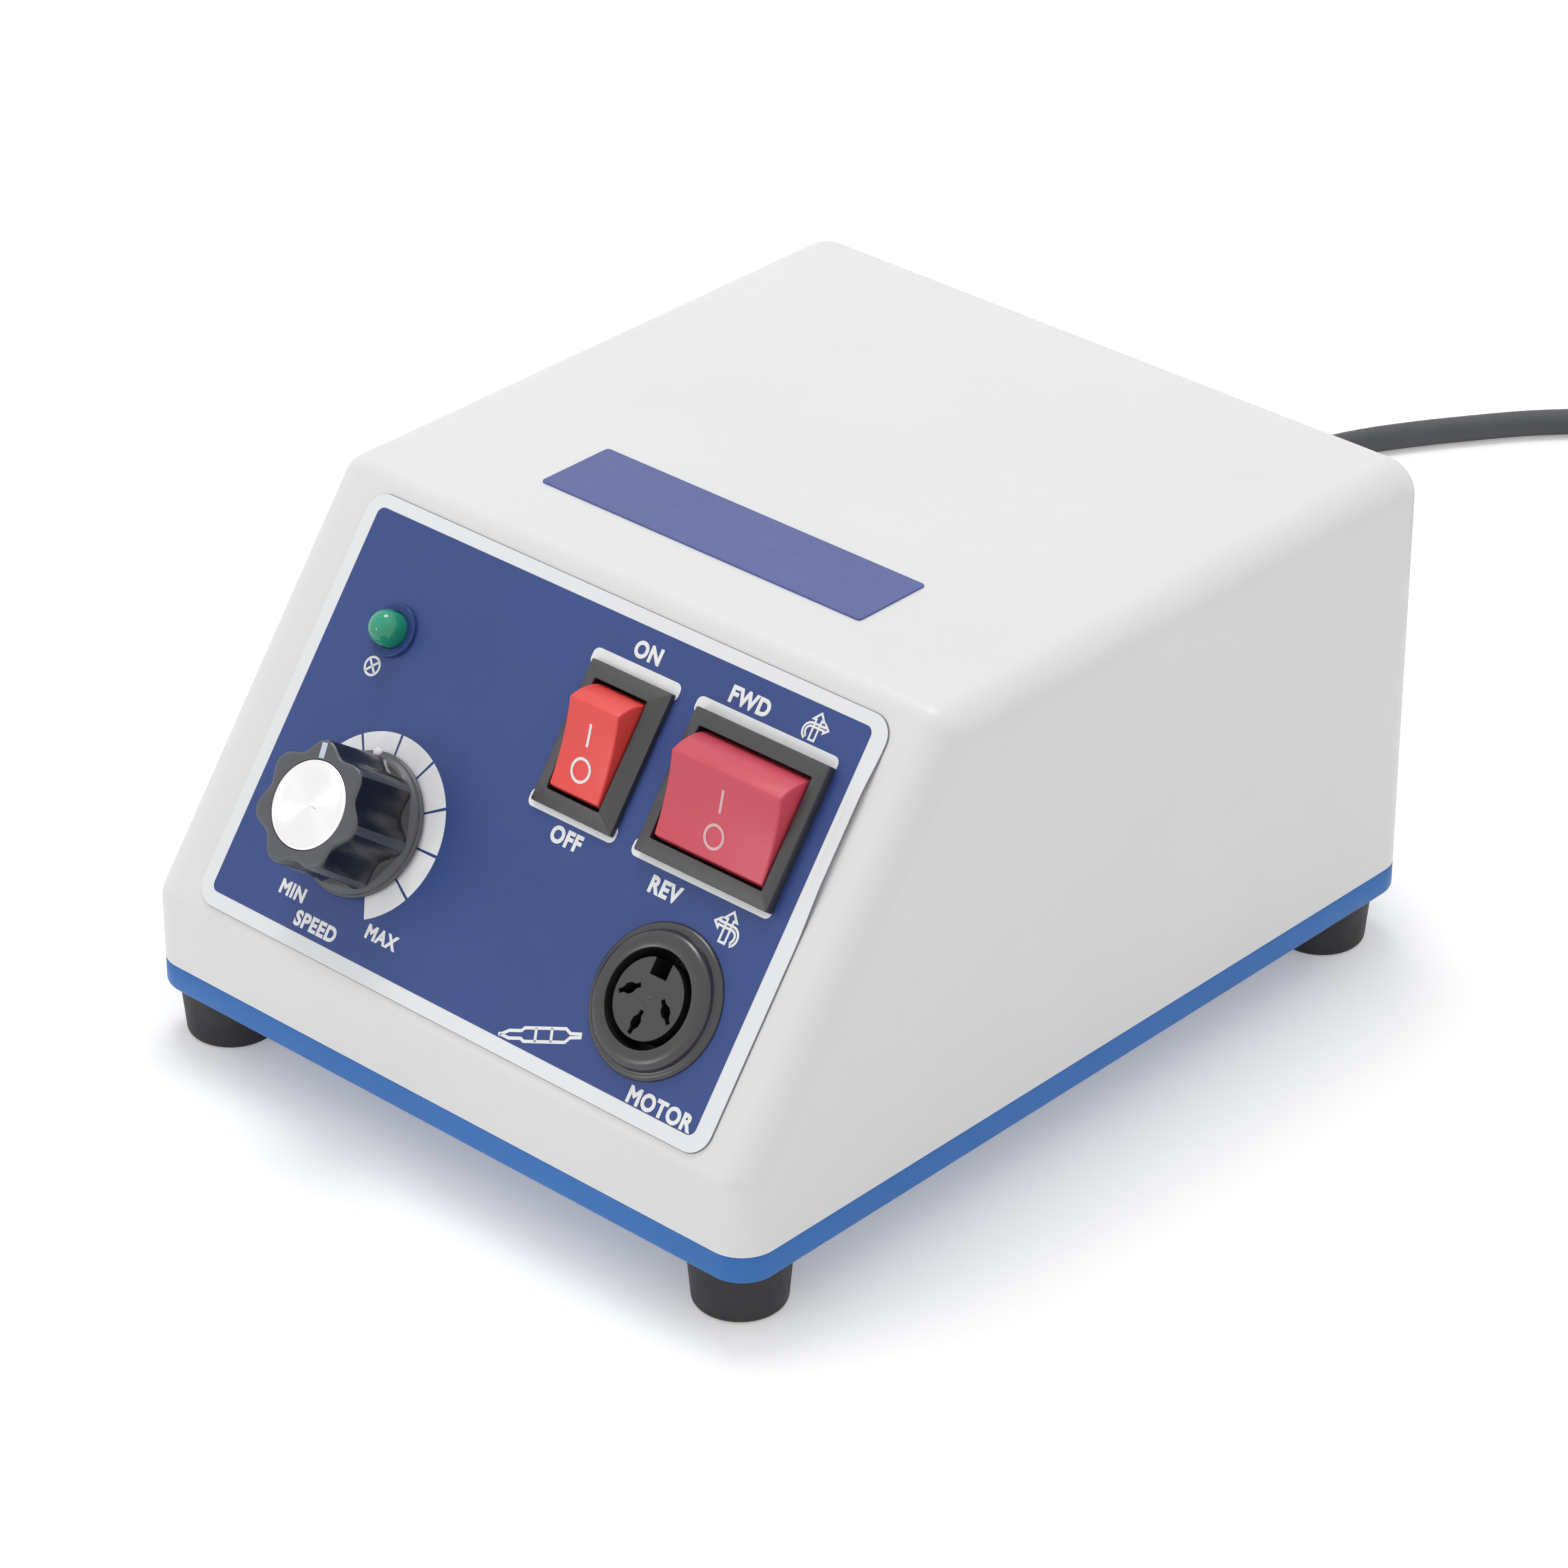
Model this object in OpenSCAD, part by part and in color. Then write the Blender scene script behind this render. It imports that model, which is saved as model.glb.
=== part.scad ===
// Control box of a dental laboratory micromotor: a desk housing with a sloped front that carries
// the speed knob, two rocker switches, a pilot lamp and the motor socket, with its drive inside.
// Millimetres, +Z up, front towards -Y. The floor is z = 0.

/* [Case] */
// Width of the case across the front
body_w = 116; // [100:1:150]
// Depth of the case from the front wall to the rear wall
body_d = 143; // [130:1:190]
// Height of the upper housing above the seam
housing_h = 65.5; // [60:0.5:90]
// Height of the short upright wall below the sloped panel
front_wall_h = 11.2; // [8:0.1:16]
// Slope of the front panel from the horizontal
panel_angle = 53.2; // [45:0.1:65]
// Thickness of the moulded walls
wall = 2.5; // [1.8:0.1:3]
// Radius on the outer edges of the housing
edge_r = 5.5; // [4.5:0.1:8]
// Radius where the sloped panel meets the top
brow_r = 3.3; // [3.1:0.1:6]
// Height of the coloured base tray
base_h = 4.5; // [4:0.1:9]
// Thickness of the floor of the base tray
tray_floor = 2.5; // [1.8:0.1:3.5]
// Height of the rubber feet
foot_h = 8; // [7:0.1:14]
// Radius of a foot where it meets the tray
foot_r = 7.3; // [6:0.1:10]
// Distance of the foot screws from the sides of the case
foot_side = 8.2; // [8:0.1:14]
// Distance of the foot screws from the front wall
foot_front = 7.9; // [7.8:0.1:14]
// Distance of the foot screws from the rear wall
foot_rear = 9.7; // [8:0.1:14]

/* [Front panel] */
// Bare margin on each side of the overlay
overlay_side = 8.9; // [6:0.1:12]
// Bare margin along the slope below the overlay
overlay_low = 1.6; // [1:0.1:4]
// Bare margin along the slope above the overlay
overlay_high = 2.9; // [2:0.1:5]
// Sideways offset of the overlay, which is stuck on by hand
overlay_shift = 0.5; // [-1:0.1:1]
// Thickness of the printed overlay and of the top label
overlay_t = 0.3; // [0.2:0.05:0.6]
// Width of the label on the top
label_w = 60; // [40:1:80]
// Depth of the label on the top
label_d = 13.5; // [8:0.5:20]
// Distance of the label's middle from the brow
label_back = 18.7; // [12:0.1:40]
// Distance of the lamp from the left side
lamp_left = 23.3; // [18:0.1:30]
// Distance of the lamp up the slope
lamp_v = 47.7; // [44:0.1:50]
// Radius of the lamp's lens
lamp_r = 2.6; // [1.5:0.1:4]
// Height of the middle of the lens dome above the panel
lamp_rise = 2.2; // [1:0.1:4]
// Distance of the knob from the left side
knob_left = 32.6; // [28:0.1:36]
// Distance of the knob up the slope
knob_v = 21.6; // [18:0.1:25]
// Distance of the power switch from the right side
power_right = 50.6; // [48:0.1:54]
// Distance of the direction switch from the right side
direction_right = 26.1; // [23:0.1:28]
// Distance of both switches up the slope
switch_v = 45.4; // [43:0.1:47]
// Distance of the motor socket from the right side
socket_right = 25.6; // [23:0.1:30]
// Distance of the motor socket up the slope
socket_v = 17.8; // [15:0.1:20]

/* [Speed knob] */
// Height of the knob's front above the panel
knob_h = 13.4; // [11:0.1:18]
// Radius over the teeth at the front of the knob
knob_tip_r = 8.9; // [8:0.1:12]
// How much wider the knob is at its foot
knob_flare = 0.7; // [0.2:0.1:1.5]
// Radius of the skirt under the teeth
skirt_r = 10.5; // [10.2:0.1:14]
// Number of teeth round the knob
knob_teeth = 7; // [5:1:12]
// Depth of the hollows between the teeth, as a share of the ring round the metal cap
flute_share = 0.56; // [0.3:0.01:0.7]
// Radius of a hollow
flute_r = 5.6; // [4:0.1:7]
// Direction of the pointer at rest, turned from the panel's right
pointer_angle = 104.5; // [90:0.5:140]
// Radius of the metal cap on the knob
cap_r = 6.4; // [4:0.1:7]
// Radius of the potentiometer shaft
shaft_r = 3; // [2:0.1:3.2]

/* [Switches] */
// Length of both switch frames along the slope
frame_l = 21; // [19.6:0.1:23]
// Width of the power switch frame
power_frame_w = 15; // [14:0.1:18]
// Width of the power rocker
power_rocker_w = 9.1; // [8:0.1:9.8]
// Radius of the power rocker about its pins
power_rocker_r = 7.8; // [7:0.1:8.4]
// Tilt of the power rocker to either side
power_tilt = 17; // [10:0.5:19]
// Width of the direction switch frame
direction_frame_w = 24.1; // [23.6:0.1:26]
// Width of the direction rocker
direction_rocker_w = 19.7; // [16:0.1:20]
// Radius of the direction rocker about its pins
direction_rocker_r = 8.1; // [7:0.1:8.4]
// Tilt of the direction rocker to either side
direction_tilt = 19.5; // [10:0.5:20]
// Depth of a switch body behind the panel
switch_depth = 14; // [12:0.5:20]

/* [Motor socket] */
// Radius of the socket's flange
flange_r = 11; // [9.5:0.1:13]
// Height of the flange above the panel
flange_h = 2.4; // [1.8:0.1:4]
// Radius of the bore that takes the motor plug
socket_bore_r = 6.97; // [6.6:0.01:7.2]
// Radius of the keyed insert in the bore
insert_r = 5.72; // [5.3:0.01:6]
// Radius of the circle of contacts
contact_circle_r = 3.5; // [3:0.1:3.8]
// Depth of the bore
socket_depth = 8.4; // [6:0.1:10]

/* [Rear wall] */
// Diameter of the mains lead
cord_d = 4.4; // [4:0.1:6]
// Length of the tapered strain relief behind the rear wall
boot_len = 24; // [20:1:40]
// Distance of the strain relief from the left side
cord_left = 20; // [18:0.5:26]
// Height of the strain relief above the floor
cord_z = 26; // [24:0.5:32]
// Distance of the foot jack and of the fuse from the right side
rear_parts_right = 21; // [20:0.5:24]
// Height of the foot jack above the floor
jack_z = 27; // [26:0.5:32]
// Radius of the foot jack's bore
jack_bore_r = 3.25; // [3.2:0.01:3.4]
// Height of the fuse holder above the floor
fuse_z = 52; // [48:0.5:56]

/* [Drive inside] */
// Width of the transformer core
core_w = 60; // [48:1:62]
// Height of the transformer core
core_h = 50; // [40:1:52]
// Thickness of the stack of laminations
core_t = 30; // [20:1:32]
// Width of the control board
board_w = 88; // [80:1:92]
// Depth of the control board
board_d = 34; // [30:1:36]

/* [Hidden] */
$fn = 64;
round_sides = 32;
thin = 0.01;

// Room between pieces: a loose fit, a part that turns, and a shaft in its bore
loose = 0.2;
clear = 0.35;
running = 0.05;
through = 1;

// Levels and faces of the case
seam_z = foot_h + base_h;
floor_z = foot_h + tray_floor;
top_z = seam_z + housing_h;
panel_z = seam_z + front_wall_h;
slope_len = (housing_h - front_wall_h) / sin(panel_angle);
knob_reach = max(0, knob_h * sin(panel_angle) - (knob_v - knob_tip_r) * cos(panel_angle));
front_y = -(body_d + boot_len - knob_reach) / 2;
rear_y = front_y + body_d;
boot_end_y = rear_y + boot_len;
side_x = body_w / 2;
brow_y = front_y + slope_len * cos(panel_angle);
corner_x = side_x - edge_r;
cord_x = cord_left - side_x;
rear_parts_x = side_x - rear_parts_right;

// Sideways places on the panel
lamp_x = lamp_left - side_x;
knob_x = knob_left - side_x;
power_x = side_x - power_right;
direction_x = side_x - direction_right;
socket_x = side_x - socket_right;
overlay_w = body_w - 2 * overlay_side;
overlay_l = slope_len - overlay_low - overlay_high;
overlay_corner_r = 3.5;
label_corner_r = 1;

// Foot screws, their bosses and the tongue of the tray
boss_r = 3.3;
boss_h = 14;
screw_r = 1.45;
screw_head_r = 2.8;
screw_head_h = 2.2;
foot_taper = 0.7;
foot_web = 2.4;
tongue_t = 1.5;
tongue_h = 3;
tray_wall = wall + loose + tongue_t;
rib_t = 2;
foot_x = side_x - foot_side;
foot_front_y = front_y + foot_front;
foot_rear_y = rear_y - foot_rear;
foot_places = [[-foot_x, foot_front_y], [foot_x, foot_front_y], [-foot_x, foot_rear_y],
    [foot_x, foot_rear_y]];

// Lamp clip and potentiometer
clip_t = 0.6;
clip_rim = 1.3;
clip_rim_h = 0.7;
lead_wire_r = 0.3;
lead_wire_l = 12;
bushing_wall = 0.9;
bushing_r = shaft_r + bushing_wall;
bushing_rise = 5.5;
washer_t = 0.5;
nut_h = 2;
nut_w = 1.9;
nut_r = bushing_r + nut_w;
pot_r = 8.2;
pot_h = 9.5;
pot_floor = 2.4;
shaft_sink = 6.6;
terminal_pitch = 5;
knob_gap = 0.8;
skirt_h = 1.4;
flute_start = 0.4;
cap_t = 0.6;
cap_sink = 0.5;
pointer_w = 0.9;
nut_room = 0.9;
tab_w = 1.2;
tab_t = 0.5;

// Rocker switches
power_pivot = 0.1;
power_rim_low = 1.3;
power_rim_high = 2.4;
direction_pivot = -1;
direction_rim_low = 2;
direction_rim_high = 2.2;
body_margin = 0.9;
cheek = 1;
pin_r = 1.2;
pin_len = 0.7;
rocker_low = 1.6;
power_face = 4.6;
direction_face = 5.4;
dish_r = 36;
dish_sides = 256;
blade_w = 4.8;
blade_t = 0.8;
blade_l = 7;
blade_row = 6.5;

// Motor socket
rim_r = (flange_h - overlay_t) / 5;
rim_step = 1.7;
rim_h = overlay_t + 2 * rim_r;
barrel_wall = 1.2;
barrel_r = socket_bore_r + barrel_wall;
insert_h = 2.2;
insert_base_t = 3;
key_w = 3;
key_depth = 2.6;
key_sink = 6;
slot_l = 3.6;
slot_w = 0.7;
slot_belly_w = 1.5;
slot_belly_l = 0.8;
contact_angles = [176, -9, -96];
slot_turns = [34.5, -48.6, 81];
contact_tail_r = 0.5;
contact_tail = 5;
socket_nut_t = 3;
socket_nut_w = 2.5;

// Transformer and board
core_back = 90;
core_y = front_y + core_back;
core_lift = 5;
core_z = floor_z + core_lift;
leg = core_w / 6;
winding_over = 9;
strap_t = 1.2;
strap_w = 22;
strap_foot = 9;
mount_boss_r = 4;
board_back = 47;
board_y = front_y + board_back;
board_z = core_z;
board_t = 1.6;
board_edge = 4;
standoff_r = 3;
board_screw_r = 1.4;
board_screw_head_r = 2.6;
board_top = board_z + board_t;
sink_base = 2;
sink_w = 30;
sink_fin_l = 8;
sink_fin_t = 1.4;
sink_fins = 7;
sink_h = 24;
part_gap = 1.2;
screw_inset = board_edge + board_screw_head_r + part_gap;
sink_x = board_w / 2 - screw_inset - sink_w / 2;
sink_y = board_y + board_d / 6;
rectifier_w = 15;
rectifier_t = 5;
rectifier_h = 15;
capacitor_r = 6.3;
capacitor_h = 21;
transistor_w = 10;
transistor_t = 4.4;
transistor_h = 9;
transistor_tab_h = 15;
transistor_leg_l = 3;
transistor_leg_w = 0.8;
transistor_pitch = 2.5;
terminal_poles = 5;
terminal_d = 8;
terminal_h = 10;
mouth_w = 3;
mouth_h = 4;

// Rear wall
jack_bush_wall = 1.2;
jack_bush_r = jack_bore_r + jack_bush_wall;
jack_depth = 24;
jack_body_w = 13;
jack_rise = 5;
fuse_body_r = 6;
fuse_flange_r = 7.5;
fuse_flange_t = 2;
fuse_link_r = 2.6;
fuse_slot = 1.2;
fuse_depth = 28;
fuse_cap_r = 5;
fuse_cap_h = 7;
boot_r = 4.6;
boot_tip_r = 3.2;
boot_grooves = 5;
gland_r = 5.6;
gland_t = 2;
groove_d = 0.8;
rear_nut_t = 3;
rear_nut_w = 2.6;

// Route of the free lead: right of the strain relief, behind its end, height of the middle
lead_points = [[0, 0, cord_z], [0, 9, cord_z], [-0.5, 18, cord_z - 1], [-1.5, 28, cord_z - 4],
    [-3, 38, 17.5], [-5, 48, 12], [-7, 58, 7], [-8.5, 67, 3.5], [-8.5, 76, cord_d / 2],
    [-6.5, 85, cord_d / 2], [-3, 93.5, cord_d / 2], [2, 102, cord_d / 2], [7.5, 110, cord_d / 2],
    [13.5, 118, cord_d / 2], [20.5, 125.5, cord_d / 2], [28, 132.5, cord_d / 2],
    [36, 139.2, cord_d / 2], [44, 145.8, cord_d / 2 + 0.2]];
lead_sides = 10;

// Coil of the lead: flat, two layers, wound inwards below and outwards above
coil_turns = 8.25;
coil_outer_r = 37;
coil_gap = 0.6;
coil_lift = 0.6;
coil_start = 130;
coil_rings = 24;
coil_sides = 6;
coil_tail = 25;
coil_pitch = cord_d + coil_gap;
coil_right = 79;
coil_back = 127;
coil_x = cord_x + coil_right;
coil_y = boot_end_y + coil_back;
coil_low = coil_lift + cord_d / 2;
coil_inner_r = coil_outer_r - coil_pitch * coil_turns / 2;
tie_az = 250;
tie_w = 5;
tie_t = 0.4;
tie_room = 0.7;

// Two-pin plug
plug_l = 36;
plug_w = 35;
plug_neck_w = 8;
plug_neck_l = 12;
plug_shoulder = 20;
plug_draft = 1;
plug_pin_r = 2;
plug_pin_l = 19;
plug_pin_gap = 18.6;

// Paints
white_paint = [0.92, 0.92, 0.91];
blue_paint = [0.25, 0.45, 0.7];
navy_paint = [0.22, 0.27, 0.5];
black_paint = [0.13, 0.13, 0.14];
red_paint = [0.85, 0.22, 0.22];
steel_paint = [0.7, 0.71, 0.73];
copper_paint = [0.72, 0.42, 0.2];
green_paint = [0.1, 0.5, 0.3];
grey_paint = [0.4, 0.4, 0.42];
brass_paint = [0.8, 0.66, 0.35];

// Places children on the panel: local Y runs up the slope and local Z stands out of it
module on_panel(x, v) {
    translate([x, front_y + v * cos(panel_angle), panel_z + v * sin(panel_angle)])
        rotate([panel_angle, 0, 0])
            children();
}

// Places children on the rear wall: local Z points out of the wall
module on_rear(x, z) {
    translate([x, rear_y, z])
        rotate([-90, 0, 0])
            children();
}

// A rectangle about the origin with round corners
module round_rect(w, l, r) {
    square([w - 2 * r, l], center = true);
    square([w, l - 2 * r], center = true);
    for (sx = [-1, 1], sy = [-1, 1])
        translate([sx * (w / 2 - r), sy * (l / 2 - r)])
            circle(r);
}

// A box about the origin in X and Y that stands on z = 0
module block(w, l, h) {
    translate([-w / 2, -l / 2, 0])
        cube([w, l, h]);
}

// A ball whose poles and equator lie on its rings
module ball(r) {
    rotate_extrude($fn = round_sides)
        intersection() {
            circle(r, $fn = round_sides);
            translate([0, -r])
                square([r, 2 * r]);
        }
}

// A nut or another ring about Z
module ring(outer_r, inner_r, h) {
    difference() {
        cylinder(h = h, r = outer_r);
        translate([0, 0, -through])
            cylinder(h = h + 2 * through, r = inner_r);
    }
}

// A hexagon nut about Z
module hex_nut(corner_r, inner_r, h) {
    difference() {
        linear_extrude(h)
            circle(corner_r, $fn = 6);
        translate([0, 0, -through])
            cylinder(h = h + 2 * through, r = inner_r);
    }
}

// Outline of the case from above
module plan(inset) {
    translate([0, front_y + body_d / 2])
        round_rect(body_w - 2 * inset, body_d - 2 * inset, edge_r - inset);
}

// Middle of a rounding that touches the sloped panel, measured behind the front wall
function panel_tangent_y(z, r) = (cos(panel_angle) * (z - panel_z) + r) / sin(panel_angle);

// The rounded wedge of the housing, drawn in from its faces by inset, down to bottom_z
module case_form(inset, bottom_z) {
    r = edge_r - inset;
    cap_z = top_z - edge_r;
    break_z = panel_z - edge_r * (1 - sin(panel_angle)) / cos(panel_angle);
    plate_low = edge_r * tan((90 - panel_angle) / 2);
    plate_high = slope_len - brow_r * tan(panel_angle / 2);
    hull() {
        for (sx = [-1, 1]) {
            translate([sx * corner_x, rear_y - edge_r, bottom_z])
                cylinder(h = cap_z - bottom_z, r = r, $fn = round_sides);
            translate([sx * corner_x, rear_y - edge_r, cap_z])
                ball(r);
            translate([sx * corner_x, front_y + edge_r, bottom_z])
                cylinder(h = break_z - bottom_z, r = r, $fn = round_sides);
            translate([sx * corner_x, front_y + edge_r, break_z])
                ball(r);
            translate([sx * corner_x, front_y + panel_tangent_y(cap_z, edge_r), cap_z])
                ball(r);
        }
        translate([-corner_x, front_y + panel_tangent_y(top_z - brow_r, brow_r), top_z - brow_r])
            rotate([0, 90, 0])
                cylinder(h = 2 * corner_x, r = brow_r - inset, $fn = round_sides);
        on_panel(-corner_x, plate_low)
            translate([0, 0, -inset - thin])
                cube([2 * corner_x, plate_high - plate_low, thin]);
    }
}

module panel_holes() {
    on_panel(lamp_x, lamp_v)
        cylinder(h = 4 * wall, r = lamp_r + clip_t + loose, center = true);
    on_panel(knob_x, knob_v)
        cylinder(h = 4 * wall, r = bushing_r + loose, center = true);
    on_panel(power_x, switch_v)
        cube([power_rocker_w + 2 * (clear + cheek + loose), frame_l - 2 * body_margin + loose,
            4 * wall], center = true);
    on_panel(direction_x, switch_v)
        cube([direction_rocker_w + 2 * (clear + cheek + loose), frame_l - 2 * body_margin + loose,
            4 * wall], center = true);
    on_panel(socket_x, socket_v)
        cylinder(h = 4 * wall, r = barrel_r + loose, center = true);
}

module rear_holes() {
    on_rear(cord_x, cord_z)
        cylinder(h = 4 * wall, r = boot_r + loose, center = true);
    on_rear(rear_parts_x, jack_z)
        cylinder(h = 4 * wall, r = jack_bush_r + loose, center = true);
    on_rear(rear_parts_x, fuse_z)
        cylinder(h = 4 * wall, r = fuse_body_r + loose, center = true);
}

module upper_housing() {
    color(white_paint)
    difference() {
        union() {
            difference() {
                case_form(0, seam_z);
                case_form(wall, seam_z - through);
            }
            for (p = foot_places)
                translate([p[0], p[1], floor_z])
                    cylinder(h = seam_z + boss_h - floor_z, r = boss_r);
            for (p = foot_places)
                translate([p[0] > 0 ? p[0] : -side_x + wall / 2, p[1] - rib_t / 2,
                    seam_z + tongue_h + 2 * loose])
                    cube([foot_side - wall / 2, rib_t, boss_h - tongue_h - 2 * loose - rib_t]);
        }
        for (p = foot_places)
            translate([p[0], p[1], floor_z - through])
                cylinder(h = seam_z + boss_h - rib_t - floor_z, r = screw_r + running);
        panel_holes();
        rear_holes();
    }
}

module base_tray() {
    color(blue_paint)
    difference() {
        union() {
            translate([0, 0, foot_h])
                linear_extrude(base_h)
                    plan(0);
            translate([0, 0, seam_z])
                linear_extrude(tongue_h)
                    plan(wall + loose);
        }
        difference() {
            translate([0, 0, floor_z])
                linear_extrude(base_h + tongue_h)
                    plan(tray_wall);
            tray_bosses();
        }
        for (p = foot_places)
            translate([p[0], p[1], foot_h - through])
                cylinder(h = tray_floor + 2 * through, r = screw_r + loose);
        for (p = strap_screw_places)
            translate([p[0], p[1], floor_z])
                cylinder(h = core_z, r = board_screw_r + running);
    }
}

// What the tray carries: bosses under the strap and two rails under the core
module tray_bosses() {
    for (p = strap_screw_places)
        translate([p[0], p[1], floor_z - thin])
            cylinder(h = core_z - floor_z + thin, r = mount_boss_r);
    for (sy = [-1, 1])
        translate([0, core_y + sy * core_t / 3, floor_z - thin])
            block(core_w - 4 * rib_t, rib_t, core_z - floor_z + thin);
}

module foot(i) {
    color(black_paint)
    translate([foot_places[i][0], foot_places[i][1], 0])
        difference() {
            cylinder(h = foot_h, r1 = foot_r - foot_taper, r2 = foot_r);
            translate([0, 0, -through])
                cylinder(h = foot_h - foot_web + through, r = screw_head_r + 2 * loose);
            cylinder(h = foot_h + through, r = screw_r + loose);
        }
}

module foot_front_left() {
    foot(0);
}

module foot_front_right() {
    foot(1);
}

module foot_rear_left() {
    foot(2);
}

module foot_rear_right() {
    foot(3);
}

module foot_screws() {
    color(steel_paint)
    for (p = foot_places)
        translate([p[0], p[1], foot_h - foot_web]) {
            translate([0, 0, -screw_head_h])
                cylinder(h = screw_head_h, r = screw_head_r);
            cylinder(h = base_h + boss_h - rib_t, r = screw_r);
        }
}

module front_overlay() {
    color(navy_paint)
    difference() {
        on_panel(overlay_shift, overlay_low + overlay_l / 2)
            linear_extrude(overlay_t)
                round_rect(overlay_w, overlay_l, overlay_corner_r);
        panel_holes();
    }
}

module top_label() {
    color(navy_paint)
    translate([overlay_shift, brow_y + label_back, top_z])
        linear_extrude(overlay_t)
            round_rect(label_w, label_d, label_corner_r);
}

module lamp_lens() {
    color(green_paint)
    on_panel(lamp_x, lamp_v)
        rotate_extrude() {
            translate([0, -2 * wall])
                square([lamp_r, 2 * wall + lamp_rise]);
            translate([0, lamp_rise])
                intersection() {
                    circle(lamp_r);
                    square(lamp_r);
                }
        }
}

module lamp_clip() {
    color(white_paint)
    on_panel(lamp_x, lamp_v) {
        translate([0, 0, overlay_t])
            ring(lamp_r + clip_rim, lamp_r + running, clip_rim_h);
        translate([0, 0, -2 * wall])
            ring(lamp_r + clip_t, lamp_r + running, 2 * wall + overlay_t);
    }
}

module lamp_leads() {
    color(steel_paint)
    on_panel(lamp_x, lamp_v)
        for (sx = [-1, 1])
            translate([sx * lamp_r / 2, 0, -2 * wall - lead_wire_l])
                cylinder(h = lead_wire_l, r = lead_wire_r, $fn = round_sides / 2);
}

// Knob body: a cone on a skirt, with one hollow between each two teeth
module speed_knob() {
    body_low = knob_gap + skirt_h;
    body_l = knob_h - body_low;
    lean = atan(knob_flare / body_l);
    flute_depth = flute_share * (knob_tip_r - cap_r);
    flute_mid = knob_tip_r + knob_flare * (1 - flute_start / body_l) - flute_depth + flute_r;
    nut_top = overlay_t + washer_t + nut_h + nut_room;
    color(black_paint)
    on_panel(knob_x, knob_v)
        difference() {
            union() {
                translate([0, 0, knob_gap])
                    cylinder(h = skirt_h, r1 = skirt_r, r2 = skirt_r - skirt_h / 4);
                translate([0, 0, body_low])
                    cylinder(h = body_l, r1 = knob_tip_r + knob_flare, r2 = knob_tip_r);
            }
            for (i = [0:knob_teeth - 1])
                rotate([0, 0, pointer_angle + (i + 0.5) * 360 / knob_teeth])
                    translate([flute_mid, 0, body_low + flute_start])
                        rotate([0, -lean, 0])
                            cylinder(h = 2 * knob_h, r = flute_r);
            cylinder(h = nut_top, r = nut_r + 2 * clear);
            cylinder(h = knob_h - 2 * cap_t - through, r = shaft_r + running);
            cylinder(h = bushing_rise + nut_room, r = bushing_r + clear);
            translate([0, 0, knob_h - cap_sink])
                cylinder(h = knob_h, r = cap_r + running);
            rotate([0, 0, pointer_angle])
                translate([cap_r + 2 * loose, -pointer_w / 2, knob_h - loose])
                    cube([knob_tip_r, pointer_w, through]);
        }
}

module knob_cap() {
    color(steel_paint)
    on_panel(knob_x, knob_v)
        translate([0, 0, knob_h - cap_sink])
            cylinder(h = cap_t, r = cap_r);
}

module pot_shaft() {
    color(steel_paint)
    on_panel(knob_x, knob_v)
        translate([0, 0, -wall - shaft_sink])
            cylinder(h = knob_h - 2 * cap_t - 2 * through + wall + shaft_sink, r = shaft_r);
}

module pot_bushing() {
    color(brass_paint)
    on_panel(knob_x, knob_v)
        translate([0, 0, -wall])
            ring(bushing_r, shaft_r + running, wall + bushing_rise);
}

module pot_nut() {
    color(steel_paint)
    on_panel(knob_x, knob_v)
        translate([0, 0, overlay_t + washer_t])
            hex_nut(nut_r, bushing_r + running, nut_h);
}

module pot_washer() {
    color(steel_paint)
    on_panel(knob_x, knob_v)
        translate([0, 0, overlay_t])
            ring(nut_r, bushing_r + running, washer_t);
}

module pot_body() {
    color(grey_paint)
    on_panel(knob_x, knob_v)
        translate([0, 0, -wall - pot_h])
            difference() {
                cylinder(h = pot_h, r = pot_r);
                translate([0, 0, pot_floor])
                    cylinder(h = pot_h, r = shaft_r + clear);
            }
}

module pot_terminals() {
    color(brass_paint)
    on_panel(knob_x, knob_v)
        for (i = [-1:1])
            translate([i * terminal_pitch, tab_t + tab_w - pot_r, -wall - pot_h - blade_l])
                block(tab_w, tab_t, blade_l);
}

// Body and frame of a rocker switch; the frame's faces rise from its edge to the opening
module switch_case(frame_w, rocker_w, rocker_r, pivot, rim_low, rim_high) {
    well_w = rocker_w + 2 * clear;
    case_w = well_w + 2 * cheek;
    body_l = frame_l - 2 * body_margin;
    difference() {
        union() {
            hull() {
                translate([0, 0, overlay_t])
                    block(frame_w, frame_l, rim_low - overlay_t);
                translate([0, 0, rim_high - thin])
                    block(well_w + clear, 2 * rocker_r, thin);
            }
            translate([0, 0, -switch_depth])
                block(case_w, body_l, switch_depth + overlay_t + thin);
        }
        translate([0, 0, pivot])
            rotate([0, 90, 0]) {
                cylinder(h = well_w, r = rocker_r + clear, center = true);
                cylinder(h = well_w + 2 * (pin_len + loose) - clear, r = pin_r + running,
                    center = true);
            }
    }
}

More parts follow.
